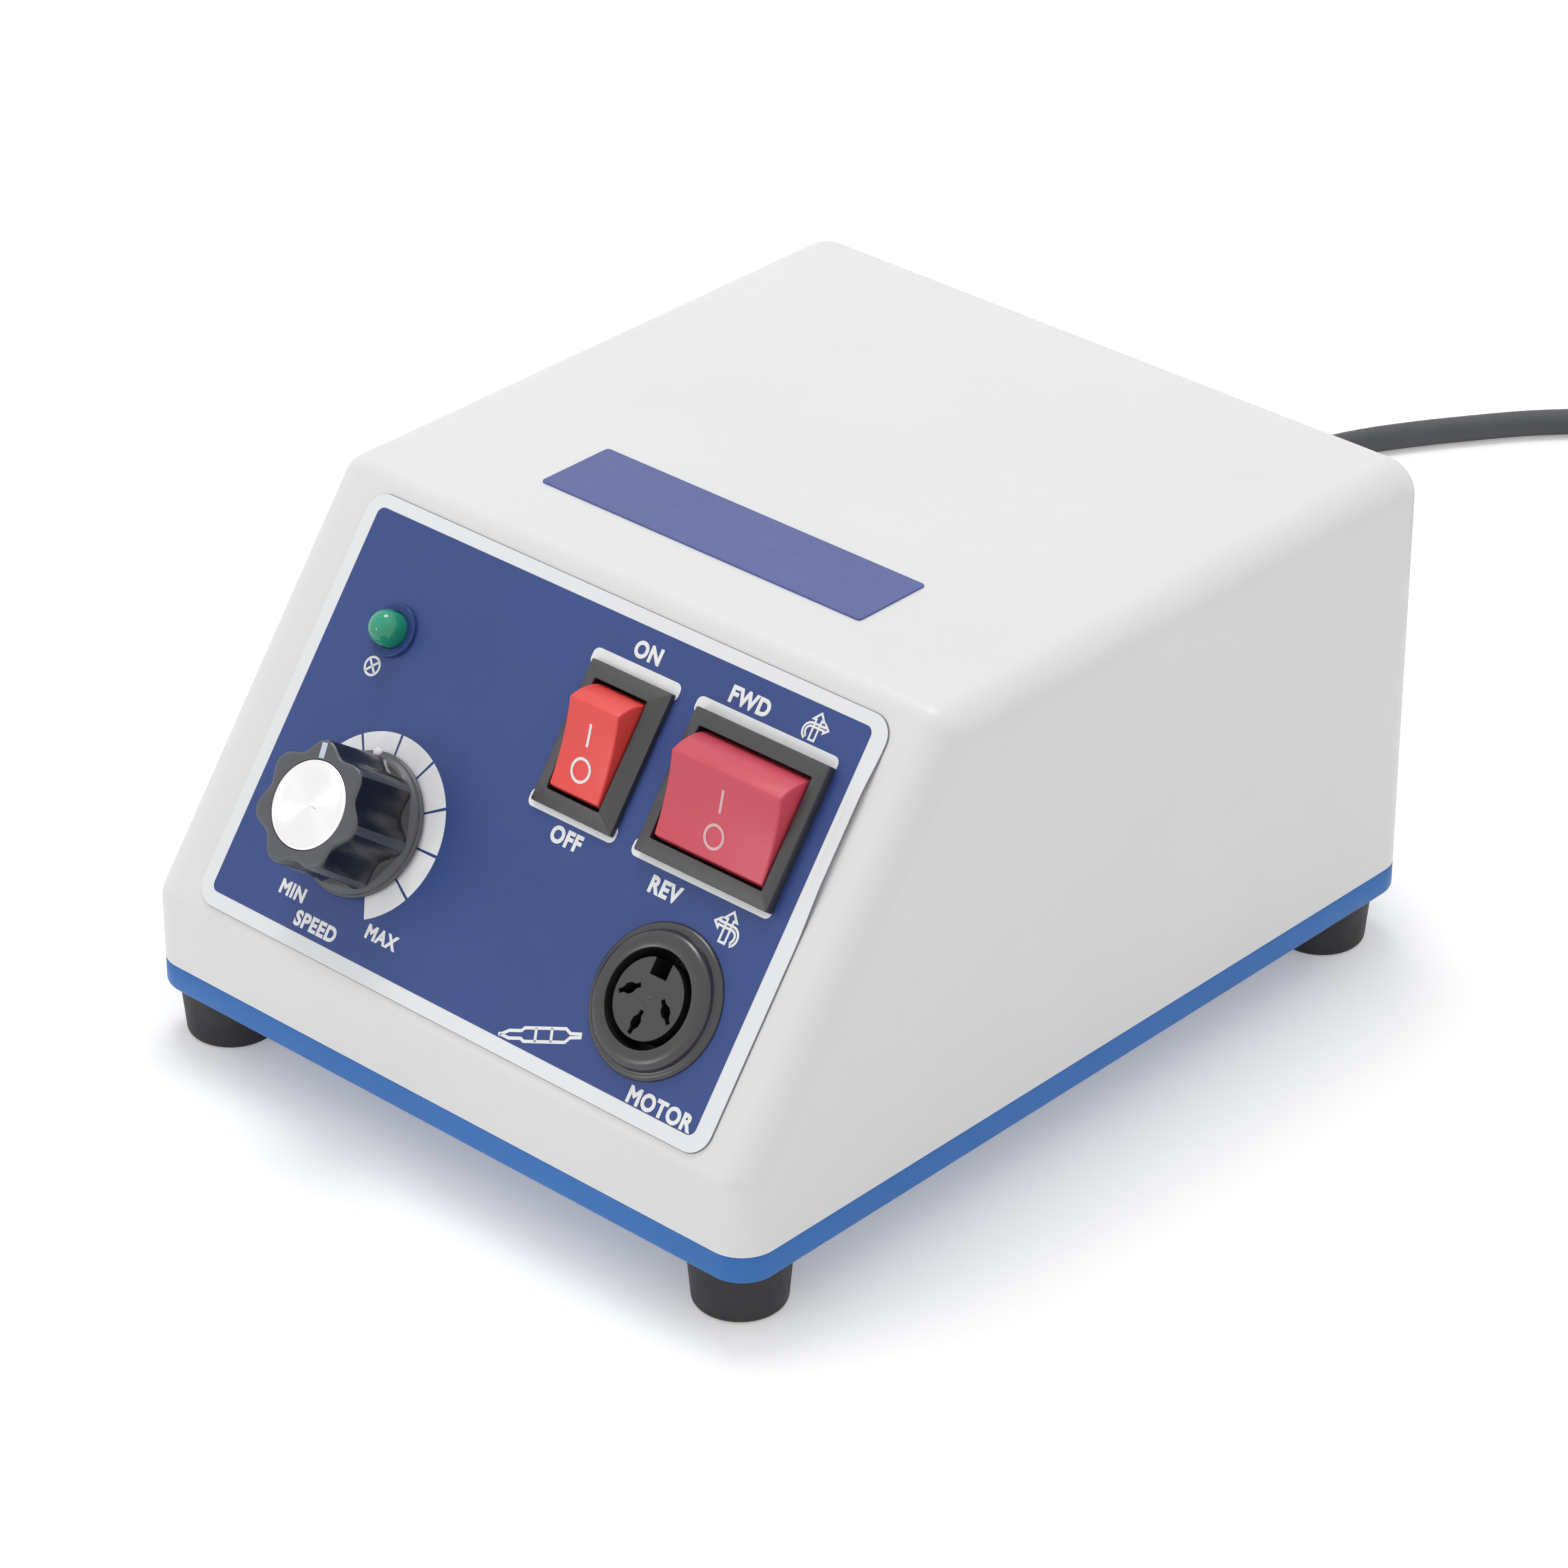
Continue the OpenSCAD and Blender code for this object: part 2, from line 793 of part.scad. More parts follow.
// A rocker about its pins: a slice of a drum with a dished face, tipped to one side
module rocker(rocker_w, rocker_r, face, pivot, tilt) {
    half_face = sqrt(pow(rocker_r, 2) - pow(face, 2));
    dish_mid = face + sqrt(pow(dish_r, 2) - pow(half_face, 2));
    translate([0, 0, pivot])
        rotate([tilt, 0, 0]) {
            difference() {
                intersection() {
                    rotate([0, 90, 0])
                        cylinder(h = rocker_w, r = rocker_r, center = true);
                    translate([0, 0, -rocker_low])
                        block(rocker_w, 2 * rocker_r + through, face + rocker_low);
                }
                translate([0, 0, dish_mid])
                    rotate([0, 90, 0])
                        cylinder(h = rocker_w + through, r = dish_r, center = true, $fn = dish_sides);
            }
            rotate([0, 90, 0])
                cylinder(h = rocker_w + 2 * pin_len, r = pin_r, center = true);
        }
}

// Blade terminals under a switch, in rows along the slope
module switch_blades(columns, pitch) {
    for (c = [0:columns - 1], r = [-1, 0, 1])
        translate([(c - (columns - 1) / 2) * pitch, r * blade_row, -switch_depth - blade_l])
            block(blade_w, blade_t, blade_l);
}

module power_switch() {
    color(black_paint)
    on_panel(power_x, switch_v)
        switch_case(power_frame_w, power_rocker_w, power_rocker_r, power_pivot, power_rim_low,
            power_rim_high);
}

module power_switch_terminals() {
    color(brass_paint)
    on_panel(power_x, switch_v)
        switch_blades(1, 0);
}

module power_rocker() {
    color(red_paint)
    on_panel(power_x, switch_v)
        rocker(power_rocker_w, power_rocker_r, power_face, power_pivot, power_tilt);
}

module direction_switch() {
    color(black_paint)
    on_panel(direction_x, switch_v)
        switch_case(direction_frame_w, direction_rocker_w, direction_rocker_r, direction_pivot,
            direction_rim_low, direction_rim_high);
}

module direction_switch_terminals() {
    color(brass_paint)
    on_panel(direction_x, switch_v)
        switch_blades(2, direction_rocker_w / 2);
}

module direction_rocker() {
    color(red_paint)
    on_panel(direction_x, switch_v)
        rocker(direction_rocker_w, direction_rocker_r, direction_face, direction_pivot,
            direction_tilt);
}

// Socket shell: a flange with a lower round rim, on a barrel through the panel
module motor_socket() {
    barrel_l = socket_depth - flange_h + insert_base_t;
    color(black_paint)
    on_panel(socket_x, socket_v)
        rotate_extrude() {
            translate([socket_bore_r, overlay_t])
                square([flange_r - socket_bore_r, rim_h - rim_r - overlay_t]);
            translate([socket_bore_r, overlay_t])
                square([flange_r - rim_r - socket_bore_r, rim_h - overlay_t]);
            translate([socket_bore_r, overlay_t])
                square([flange_r - rim_step - socket_bore_r, flange_h - overlay_t]);
            translate([flange_r - rim_r, rim_h - rim_r])
                circle(rim_r);
            translate([socket_bore_r, -barrel_l])
                square([barrel_wall, barrel_l + overlay_t]);
        }
}

// Contact slot: narrow ends and a wider middle
module slot_outline() {
    square([slot_l, slot_w], center = true);
    polygon([[-2 * slot_belly_l, 0], [-slot_belly_l / 2, slot_belly_w / 2],
        [slot_belly_l / 2, slot_belly_w / 2], [2 * slot_belly_l, 0],
        [slot_belly_l / 2, -slot_belly_w / 2], [-slot_belly_l / 2, -slot_belly_w / 2]]);
}

// Keyed insert: a disc with three contact slots on a base that fills the barrel
module socket_insert() {
    base_z = flange_h - socket_depth;
    color(black_paint)
    on_panel(socket_x, socket_v)
        difference() {
            union() {
                translate([0, 0, base_z])
                    cylinder(h = insert_h - base_z, r = insert_r);
                translate([0, 0, base_z - insert_base_t])
                    cylinder(h = insert_base_t, r = socket_bore_r - running);
            }
            translate([0, insert_r + through - key_depth / 2, insert_h])
                cube([key_w, key_depth + 2 * through, 2 * key_sink], center = true);
            for (i = [0:2])
                rotate([0, 0, contact_angles[i]])
                    translate([contact_circle_r, 0, base_z])
                        rotate([0, 0, slot_turns[i] - contact_angles[i]])
                            linear_extrude(socket_depth)
                                slot_outline();
        }
}

module socket_contacts() {
    base_z = flange_h - socket_depth - insert_base_t;
    color(brass_paint)
    on_panel(socket_x, socket_v)
        for (a = contact_angles)
            rotate([0, 0, a])
                translate([contact_circle_r, 0, base_z - contact_tail])
                    cylinder(h = contact_tail, r = contact_tail_r, $fn = round_sides);
}

module socket_nut() {
    color(black_paint)
    on_panel(socket_x, socket_v)
        translate([0, 0, -wall - socket_nut_t])
            ring(barrel_r + socket_nut_w, barrel_r + running, socket_nut_t);
}

strap_screw_places = [for (sx = [-1, 1]) [sx * (core_w / 2 + strap_t + strap_foot / 2), core_y]];

module transformer_core() {
    color(grey_paint)
    translate([0, core_y, core_z])
        difference() {
            block(core_w, core_t, core_h);
            for (sx = [-1, 1])
                translate([sx * 1.5 * leg, 0, leg])
                    block(leg, core_t + 2 * through, core_h - 2 * leg);
        }
}

module transformer_winding() {
    color(copper_paint)
    translate([0, core_y, core_z + leg + loose])
        difference() {
            block(4 * leg - 2 * loose, core_t + 2 * winding_over, core_h - 2 * leg - 2 * loose);
            translate([0, 0, -through])
                block(2 * leg + 2 * loose, core_t + 2 * loose, core_h);
        }
}

// Strap over the core with a foot on each side
module transformer_strap() {
    span = core_w + 2 * strap_t;
    color(steel_paint)
    translate([0, core_y, core_z])
        difference() {
            union() {
                difference() {
                    block(span, strap_w, core_h + strap_t);
                    translate([0, 0, -through])
                        block(core_w, strap_w + 2 * through, core_h + through);
                }
                for (sx = [-1, 1])
                    translate([sx * (span + strap_foot - thin) / 2, 0, 0])
                        block(strap_foot + thin, strap_w, strap_t);
            }
            for (sx = [-1, 1])
                translate([sx * (core_w / 2 + strap_t + strap_foot / 2), 0, -through])
                    cylinder(h = strap_t + 2 * through, r = board_screw_r + loose);
        }
}

// A pan-head screw that comes down on z = 0
module board_screw(l) {
    cylinder(h = screw_head_h, r = board_screw_head_r);
    translate([0, 0, -l])
        cylinder(h = l + thin, r = board_screw_r);
}

module transformer_screws() {
    color(steel_paint)
    for (p = strap_screw_places)
        translate([p[0], p[1], core_z + strap_t])
            board_screw(core_z - floor_z + strap_t - through);
}

board_holes = [for (sx = [-1, 1], sy = [-1, 1])
    [sx * (board_w / 2 - board_edge), board_y + sy * (board_d / 2 - board_edge)]];

module control_board() {
    color(green_paint)
    difference() {
        translate([0, board_y, board_z])
            block(board_w, board_d, board_t);
        for (p = board_holes)
            translate([p[0], p[1], board_z - through])
                cylinder(h = board_t + 2 * through, r = board_screw_r + loose);
    }
}

module board_standoffs() {
    color(brass_paint)
    for (p = board_holes)
        translate([p[0], p[1], floor_z])
            ring(standoff_r, board_screw_r + running, board_z - floor_z);
}

module board_screws() {
    color(steel_paint)
    for (p = board_holes)
        translate([p[0], p[1], board_top])
            board_screw(board_z - floor_z + board_t - through);
}

module bridge_rectifier() {
    color(black_paint)
    translate([rectifier_w / 2 + part_gap, board_y - board_d / 4, board_top])
        block(rectifier_w, rectifier_t, rectifier_h);
}

module filter_capacitors() {
    color(navy_paint)
    for (i = [0, 1])
        translate([screw_inset - board_w / 2 + capacitor_r + 2 * i * (capacitor_r + part_gap),
            board_y + board_d / 5, board_top])
            cylinder(h = capacitor_h, r = capacitor_r);
}

// Finned extrusion that stands on the board
module heat_sink() {
    color(steel_paint)
    translate([sink_x, sink_y, board_top])
        linear_extrude(sink_h) {
            translate([-sink_w / 2, 0])
                square([sink_w, sink_base]);
            for (i = [0:sink_fins - 1])
                translate([-sink_w / 2 + i * (sink_w - sink_fin_t) / (sink_fins - 1), 0])
                    square([sink_fin_t, sink_base + sink_fin_l]);
        }
}

module power_transistor() {
    color(black_paint)
    translate([sink_x, sink_y, board_top]) {
        translate([0, -tab_w / 2, transistor_leg_l])
            block(transistor_w, tab_w, transistor_tab_h);
        translate([0, -transistor_t / 2, transistor_leg_l])
            block(transistor_w, transistor_t, transistor_h);
        for (i = [-1:1])
            translate([i * transistor_pitch, -transistor_t / 2, 0])
                block(transistor_leg_w, tab_t, transistor_leg_l + thin);
    }
}

module terminal_block() {
    row_w = terminal_poles * terminal_pitch;
    color(green_paint)
    translate([screw_inset + (row_w - board_w) / 2, board_y - board_d / 2 + terminal_d, board_top])
        difference() {
            block(row_w, terminal_d, terminal_h);
            for (i = [0:terminal_poles - 1])
                translate([(i - (terminal_poles - 1) / 2) * terminal_pitch, -terminal_d / 2, mouth_h])
                    cube([mouth_w, terminal_d, mouth_h], center = true);
        }
}

module fuse_holder() {
    color(black_paint)
    on_rear(rear_parts_x, fuse_z)
        difference() {
            union() {
                cylinder(h = fuse_flange_t, r = fuse_flange_r);
                translate([0, 0, -fuse_depth])
                    cylinder(h = fuse_depth + thin, r = fuse_body_r);
            }
            translate([0, 0, rear_nut_t - fuse_depth])
                cylinder(h = fuse_depth + 2 * through, r = fuse_cap_r - through);
        }
}

module fuse_nut() {
    color(black_paint)
    on_rear(rear_parts_x, fuse_z)
        translate([0, 0, -wall - rear_nut_t])
            hex_nut(fuse_body_r + rear_nut_w, fuse_body_r + running, rear_nut_t);
}

module fuse_cap() {
    color(black_paint)
    on_rear(rear_parts_x, fuse_z)
        difference() {
            union() {
                translate([0, 0, fuse_flange_t])
                    cylinder(h = fuse_cap_h, r = fuse_cap_r);
                translate([0, 0, -rear_nut_t])
                    cylinder(h = rear_nut_t + fuse_flange_t + thin, r = fuse_cap_r - through - loose);
            }
            translate([0, 0, fuse_flange_t + fuse_cap_h])
                cube([4 * fuse_cap_r, fuse_slot, 2 * fuse_slot], center = true);
        }
}

module fuse_link() {
    color(steel_paint)
    on_rear(rear_parts_x, fuse_z)
        translate([0, 0, rear_nut_t - fuse_depth])
            cylinder(h = fuse_depth - 2 * rear_nut_t, r = fuse_link_r);
}

// Jack for the foot control: a threaded bush on a box, bored for the plug
module foot_jack() {
    color(black_paint)
    on_rear(rear_parts_x, jack_z)
        difference() {
            union() {
                translate([0, 0, -wall - jack_depth])
                    block(jack_body_w, jack_body_w, jack_depth);
                translate([0, 0, -wall - thin])
                    cylinder(h = wall + jack_rise + thin, r = jack_bush_r);
            }
            translate([0, 0, jack_rise - jack_depth])
                cylinder(h = jack_depth + through, r = jack_bore_r);
        }
}

module foot_jack_nut() {
    color(steel_paint)
    on_rear(rear_parts_x, jack_z)
        hex_nut(jack_bush_r + rear_nut_w, jack_bush_r + running, rear_nut_t);
}

// Strain relief: a collar on each side of the wall and a grooved taper behind
module strain_relief() {
    pitch = boot_len / (boot_grooves + 2);
    color(black_paint)
    on_rear(cord_x, cord_z)
        difference() {
            union() {
                translate([0, 0, -wall - rear_nut_t])
                    cylinder(h = rear_nut_t, r = gland_r);
                translate([0, 0, -wall - thin])
                    cylinder(h = wall + 2 * thin, r = boot_r);
                cylinder(h = gland_t, r = gland_r);
                cylinder(h = boot_len, r1 = boot_r, r2 = boot_tip_r);
            }
            for (i = [1:boot_grooves])
                translate([0, 0, (i + 0.6) * pitch - pitch / 4])
                    ring(2 * boot_r, boot_tip_r - groove_d / 2 + (boot_grooves - i) * groove_d / 4,
                        pitch / 2);
        }
}

function unit(a) = a / norm(a);

// Direction of a route at point i
function heading(p, i) = unit(p[min(i + 1, len(p) - 1)] - p[max(i - 1, 0)]);

// Ring of corners round point i, square to the route
function tube_ring(p, i, r, sides) =
    let (t = heading(p, i), side = unit(cross([0, 0, 1], t)), up = cross(t, side))
    [for (j = [0:sides - 1])
        let (a = (j + 0.5) * 360 / sides)
        p[i] + r * (cos(a) * side + sin(a) * up)];

// Closed tube along a list of points, all in triangles
module tube(p, d, sides) {
    n = len(p);
    corners = [for (i = [0:n - 1]) each tube_ring(p, i, d / 2, sides)];
    skin = [for (i = [0:n - 2], j = [0:sides - 1])
        let (a = i * sides + j, b = i * sides + (j + 1) % sides)
        each [[a, b + sides, b], [a, a + sides, b + sides]]];
    last = (n - 1) * sides;
    near_end = [for (j = [1:sides - 2]) [0, j, j + 1]];
    far_end = [for (j = [1:sides - 2]) [last, last + j + 1, last + j]];
    polyhedron(points = corners, faces = concat(skin, near_end, far_end));
}

// Direction of the coil's winding, clockwise from above, at a given turn
function coil_dir(turn) = let (a = coil_start - 360 * turn) [sin(a), -cos(a), 0];

// Radius falls by one pitch a turn to the middle of the winding and rises again after it
function coil_radius(turn) = coil_inner_r + coil_pitch * abs(turn - coil_turns / 2);

// The second layer is climbed in the half turn where the spiral reverses
function coil_height(turn) =
    let (s = min(1, max(0, 2 * (turn - coil_turns / 2) + 0.5)))
    coil_low + coil_pitch * s * s * (3 - 2 * s);

function coil_point(turn) =
    let (a = coil_start - 360 * turn, r = coil_radius(turn))
    [coil_x + r * cos(a), coil_y + r * sin(a), coil_height(turn)];

coil_steps = coil_turns * coil_rings;
coil_loops = [for (i = [0:coil_steps]) coil_point(i / coil_rings)];
coil_entry = coil_point(0) - cord_d * coil_dir(0);
coil_exit = coil_point(coil_turns) + coil_tail * coil_dir(coil_turns);
coil_path = concat([coil_entry], coil_loops, [coil_exit]);
lead_path = concat([for (p = lead_points) [cord_x + p[0], boot_end_y + p[1], p[2]]], [coil_entry]);

// Least gap of the coil to itself, between points at least a third of a turn apart
least_gap = min([for (i = [0:coil_steps - 8], j = [i + 8:coil_steps])
    norm(coil_loops[i] - coil_loops[j])]) - cord_d;

// Length of a route, as the sum of its steps
function route_len(p, i = 1) = i == len(p) ? 0 : norm(p[i] - p[i - 1]) + route_len(p, i + 1);

echo(coil_least_gap = least_gap, lead_length = route_len(lead_path) + route_len(coil_path));

module mains_lead() {
    color(grey_paint)
    tube(lead_path, cord_d, lead_sides);
}

module lead_coil() {
    color(grey_paint)
    tube(coil_path, cord_d, coil_sides);
}

// Flat band round all the turns at one place
module coil_tie() {
    low_r = coil_inner_r - cord_d / 2 - tie_room;
    high_r = coil_outer_r + cord_d / 2 + tie_room;
    top = coil_low + coil_pitch + cord_d / 2 + tie_t;
    color(black_paint)
    translate([coil_x, coil_y, 0])
        rotate([0, 0, tie_az])
            translate([(low_r + high_r) / 2, 0, 0])
                difference() {
                    block(high_r - low_r + 2 * tie_t, tie_w, top + tie_t);
                    translate([0, 0, tie_t])
                        block(high_r - low_r, tie_w + 2 * through, top - tie_t);
                }
}

// Places children at the coil's far end: local Y runs on along the lead
module at_plug() {
    d = coil_dir(coil_turns);
    translate([coil_exit[0], coil_exit[1], 0])
        rotate([0, 0, atan2(d[1], d[0]) - 90])
            children();
}

module plug_body() {
    color(black_paint)
    at_plug()
        linear_extrude(2 * coil_exit[2])
            polygon([[-plug_neck_w / 2, 0], [plug_neck_w / 2, 0], [plug_neck_w / 2, plug_neck_l],
                [plug_w / 2 - plug_draft, plug_shoulder], [plug_w / 2, plug_l], [-plug_w / 2, plug_l],
                [plug_draft - plug_w / 2, plug_shoulder], [-plug_neck_w / 2, plug_neck_l]]);
}

module plug_pins() {
    color(steel_paint)
    at_plug()
        for (sx = [-1, 1])
            translate([sx * plug_pin_gap / 2, plug_l, coil_exit[2]])
                rotate([-90, 0, 0])
                    cylinder(h = plug_pin_l, r = plug_pin_r);
}

upper_housing();
base_tray();
foot_front_left();
foot_front_right();
foot_rear_left();
foot_rear_right();
foot_screws();
front_overlay();
top_label();
lamp_lens();
lamp_clip();
lamp_leads();
speed_knob();
knob_cap();
pot_shaft();
pot_bushing();
pot_nut();
pot_washer();
pot_body();
pot_terminals();
power_switch();
power_switch_terminals();
power_rocker();
direction_switch();
direction_switch_terminals();
direction_rocker();
motor_socket();
socket_insert();
socket_contacts();
socket_nut();
transformer_core();
transformer_winding();
transformer_strap();
transformer_screws();
control_board();
board_standoffs();
board_screws();
bridge_rectifier();
filter_capacitors();
heat_sink();
power_transistor();
terminal_block();
fuse_holder();
fuse_nut();
fuse_cap();
fuse_link();
foot_jack();
foot_jack_nut();
strain_relief();
mains_lead();
lead_coil();
coil_tie();
plug_body();
plug_pins();
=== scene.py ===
import bmesh
import bpy
import math
import numpy as np
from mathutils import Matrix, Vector
from mathutils.geometry import tessellate_polygon


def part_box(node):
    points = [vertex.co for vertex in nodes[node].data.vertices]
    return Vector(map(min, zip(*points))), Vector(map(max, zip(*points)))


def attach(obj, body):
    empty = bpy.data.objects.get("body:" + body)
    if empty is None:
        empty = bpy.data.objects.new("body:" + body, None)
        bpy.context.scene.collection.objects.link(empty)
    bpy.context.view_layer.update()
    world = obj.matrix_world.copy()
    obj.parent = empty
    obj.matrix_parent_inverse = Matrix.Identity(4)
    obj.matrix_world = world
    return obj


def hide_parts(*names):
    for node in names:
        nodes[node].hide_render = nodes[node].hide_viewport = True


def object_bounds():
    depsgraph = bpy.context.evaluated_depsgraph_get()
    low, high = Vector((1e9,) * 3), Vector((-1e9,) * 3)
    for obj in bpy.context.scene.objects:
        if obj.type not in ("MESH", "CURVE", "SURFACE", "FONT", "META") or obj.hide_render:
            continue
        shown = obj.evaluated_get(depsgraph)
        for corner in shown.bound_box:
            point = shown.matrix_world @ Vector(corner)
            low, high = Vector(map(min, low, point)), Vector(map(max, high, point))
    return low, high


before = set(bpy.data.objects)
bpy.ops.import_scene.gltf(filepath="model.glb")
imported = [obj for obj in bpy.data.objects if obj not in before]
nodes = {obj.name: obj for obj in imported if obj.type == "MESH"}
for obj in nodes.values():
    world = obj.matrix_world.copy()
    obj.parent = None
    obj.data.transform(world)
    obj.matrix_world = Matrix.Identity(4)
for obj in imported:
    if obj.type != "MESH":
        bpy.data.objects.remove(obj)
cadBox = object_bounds()
mm = 0.001


# Shapes: every size below is in millimetres, and addPiece turns it into metres

pole = 0.0001  # radius at which a turned profile starts its closed tip


# 0 below 0, 1 above 1, and between them a cubic that starts and ends level
def smoothStep(x):
    t = np.clip(x, 0, 1)
    return t * t * (3 - 2 * t)


# each row divided by its own length
def unit(rows):
    return rows / np.linalg.norm(rows, axis=1, keepdims=True)


# a corner becomes an arc that touches both of its edges; radius 0 repeats the corner
def filleted(corners, radii, steps=6):
    corners = np.asarray(corners, float)
    radii = np.broadcast_to(np.asarray(radii, float), len(corners))
    back = unit(np.roll(corners, 1, axis=0) - corners)
    ahead = unit(np.roll(corners, -1, axis=0) - corners)
    half = np.arccos(np.clip((back * ahead).sum(1), -0.999999, 1)) / 2  # never quite straight
    middle = unit(back + ahead)
    centre = corners + middle * (radii / np.sin(half))[:, None]
    reach = (radii / np.tan(half))[:, None]
    first = corners + back * reach - centre
    last = corners + ahead * reach - centre
    sweep = (math.pi - 2 * half)[:, None, None]
    share = np.linspace(0, 1, steps + 1)[None, :, None]
    arc = np.sin((1 - share) * sweep) * first[:, None] + np.sin(share * sweep) * last[:, None]
    return (centre[:, None] + arc / np.sin(sweep)).reshape(-1, 2)


# each edge of an anticlockwise outline moves inwards by its own depth, and neighbours meet again
def drawnIn(corners, depth):
    corners = np.asarray(corners, float)
    depth = np.broadcast_to(np.asarray(depth, float), len(corners))
    edge = np.roll(corners, -1, axis=0) - corners
    normal = unit(np.column_stack([edge[:, 1], -edge[:, 0]]))
    level = (corners * normal).sum(1) - depth
    pairs = np.stack([np.roll(normal, 1, axis=0), normal], axis=1)
    levels = np.stack([np.roll(level, 1), level], axis=1)
    return np.linalg.solve(pairs, levels[..., None])[..., 0]


# rectangle about the origin with round corners, anticlockwise, drawn in all round by an inset
def roundRect(width, length, radius, steps=6, inset=0):
    x = (width - 2 * inset) / 2
    y = (length - 2 * inset) / 2
    return filleted([[x, -y], [x, y], [-x, y], [-x, -y]], radius - inset, steps)


# arc of a circle about a centre, from one angle to another in degrees
def arcPoints(centre, radius, fromDeg, toDeg, steps):
    angle = np.radians(np.linspace(fromDeg, toDeg, steps + 1))
    return np.column_stack([centre[0] + radius * np.cos(angle), centre[1] + radius * np.sin(angle)])


# all round a circle, anticlockwise, with no point twice
def circlePoints(centre, radius, sides):
    return arcPoints(centre, radius, 0, 360, sides)[:-1]


# skin between rings of points: ring k joins ring k + 1 all round, and end rings close to a pole
def loft(rings, capStart=True, capEnd=True, wrap=False):
    count, size = rings.shape[:2]
    points = rings.reshape(-1, 3)
    row = np.arange(count if wrap else count - 1)[:, None]
    i = np.arange(size)[None, :]
    j = (i + 1) % size
    near = row * size
    far = (row + 1) % count * size
    quads = np.stack([near + i, near + j, far + j, far + i], axis=-1)
    faces = quads.reshape(-1, 4).tolist()
    for wanted, end in ((capStart, 0), (capEnd, count - 1)):
        if wanted and not wrap:
            middle = np.full(size, len(points))
            fan = np.stack([end * size + i[0], end * size + j[0], middle], axis=-1)
            points = np.vstack([points, rings[end].mean(0)])
            faces += fan.tolist()
    return points, faces


# outlines in one plane, each lifted to its own height: ring k is outline k at height k
def stack(outlines, heights):
    outlines = np.asarray(outlines, float)
    level = np.broadcast_to(np.asarray(heights, float)[:, None, None], outlines.shape[:2] + (1,))
    return np.concatenate([outlines, level], axis=2)


# profile (radius, height) carried round the local Z axis
def turned(profile, sides):
    profile = np.asarray(profile, float)
    angle = np.linspace(0, 2 * math.pi, sides, endpoint=False)
    circle = np.column_stack([np.cos(angle), np.sin(angle)])
    return loft(stack(profile[:, 0, None, None] * circle[None], profile[:, 1]))


# side outline carried across X: near each side it draws in along a quarter circle, so that all the
# edges are round; the side faces close to a pole over a ring that is drawn in a little further
def pillow(corners, radii, depth, width, edge, steps, lastShare=0.97):
    radii = np.broadcast_to(np.asarray(radii, float), len(corners))
    outer = filleted(corners, radii, steps)
    inner = filleted(drawnIn(corners, depth), np.clip(radii - edge, 0, None), steps)
    turn = np.linspace(math.pi / 2, 0, steps + 1)
    left = edge - width / 2 - edge * np.sin(turn)
    across = np.concatenate([left[:1], left, -left[::-1], -left[:1]])
    spread = np.concatenate([np.cos(turn), np.cos(turn[::-1])])
    side = inner + (outer - inner) * spread[:, None, None]
    middle = inner.mean(0)
    inset = middle + (inner - middle) * lastShare
    side = np.concatenate([inset[None], side, inset[None]])
    level = np.broadcast_to(across[:, None, None], side.shape[:2] + (1,))
    return loft(np.concatenate([level, side], axis=2))


# flat patch inside an anticlockwise outline, as a fan about its middle
def patch(outline):
    size = len(outline)
    i = np.arange(size)
    faces = np.stack([i, (i + 1) % size, np.full(size, size)], axis=-1)
    return np.vstack([outline, outline.mean(0)]), faces.tolist()


# flat sheet inside an outline, with holes, cut into triangles that all face up
def sheetWithHoles(outline, holes):
    lines = [np.asarray(line, float) for line in (outline, *holes)]
    faces = tessellate_polygon([[Vector((x, y, 0)) for x, y in line] for line in lines])
    points = np.vstack(lines)
    corners = points[np.array(faces)]
    first = corners[:, 1] - corners[:, 0]
    second = corners[:, 2] - corners[:, 0]
    upward = first[:, 0] * second[:, 1] - first[:, 1] * second[:, 0] > 0
    return points, [list(face) if up else list(face)[::-1] for face, up in zip(faces, upward)]


# flat band between two lines with the same number of points
def band(inner, outer, closed=True):
    size = len(inner)
    i = np.arange(size if closed else size - 1)
    j = (i + 1) % size
    faces = np.stack([size + i, size + j, j, i], axis=-1)
    return np.vstack([inner, outer]), faces.tolist()


# flat line of even width along an open row of points
def stroke(points, width):
    points = np.asarray(points, float)
    along = unit(np.gradient(points, axis=0))
    across = np.column_stack([-along[:, 1], along[:, 0]]) * width / 2
    return band(points + across, points - across, closed=False)


# outline drawn as a line of even width inside a closed anticlockwise row of corners
def lineAround(corners, width):
    return band(drawnIn(corners, width), np.asarray(corners, float))


# one number, or a row of several, for each vertex, corner or face of a mesh
def readAll(items, key, width=1, kind=float):
    values = np.empty(len(items) * width, kind)
    items.foreach_get(key, values)
    return values.reshape(-1, width) if width > 1 else values


# a new object of the scene that holds a mesh, a text, a camera or a lamp
def addObject(name, data):
    holder = bpy.data.objects.new(name, data)
    bpy.context.scene.collection.objects.link(holder)
    return holder


letterStyle = dict(squeeze=0.95, weight=0.045, rise=0.02, spacing=1.1, curveSteps=8, leastUp=0.05)


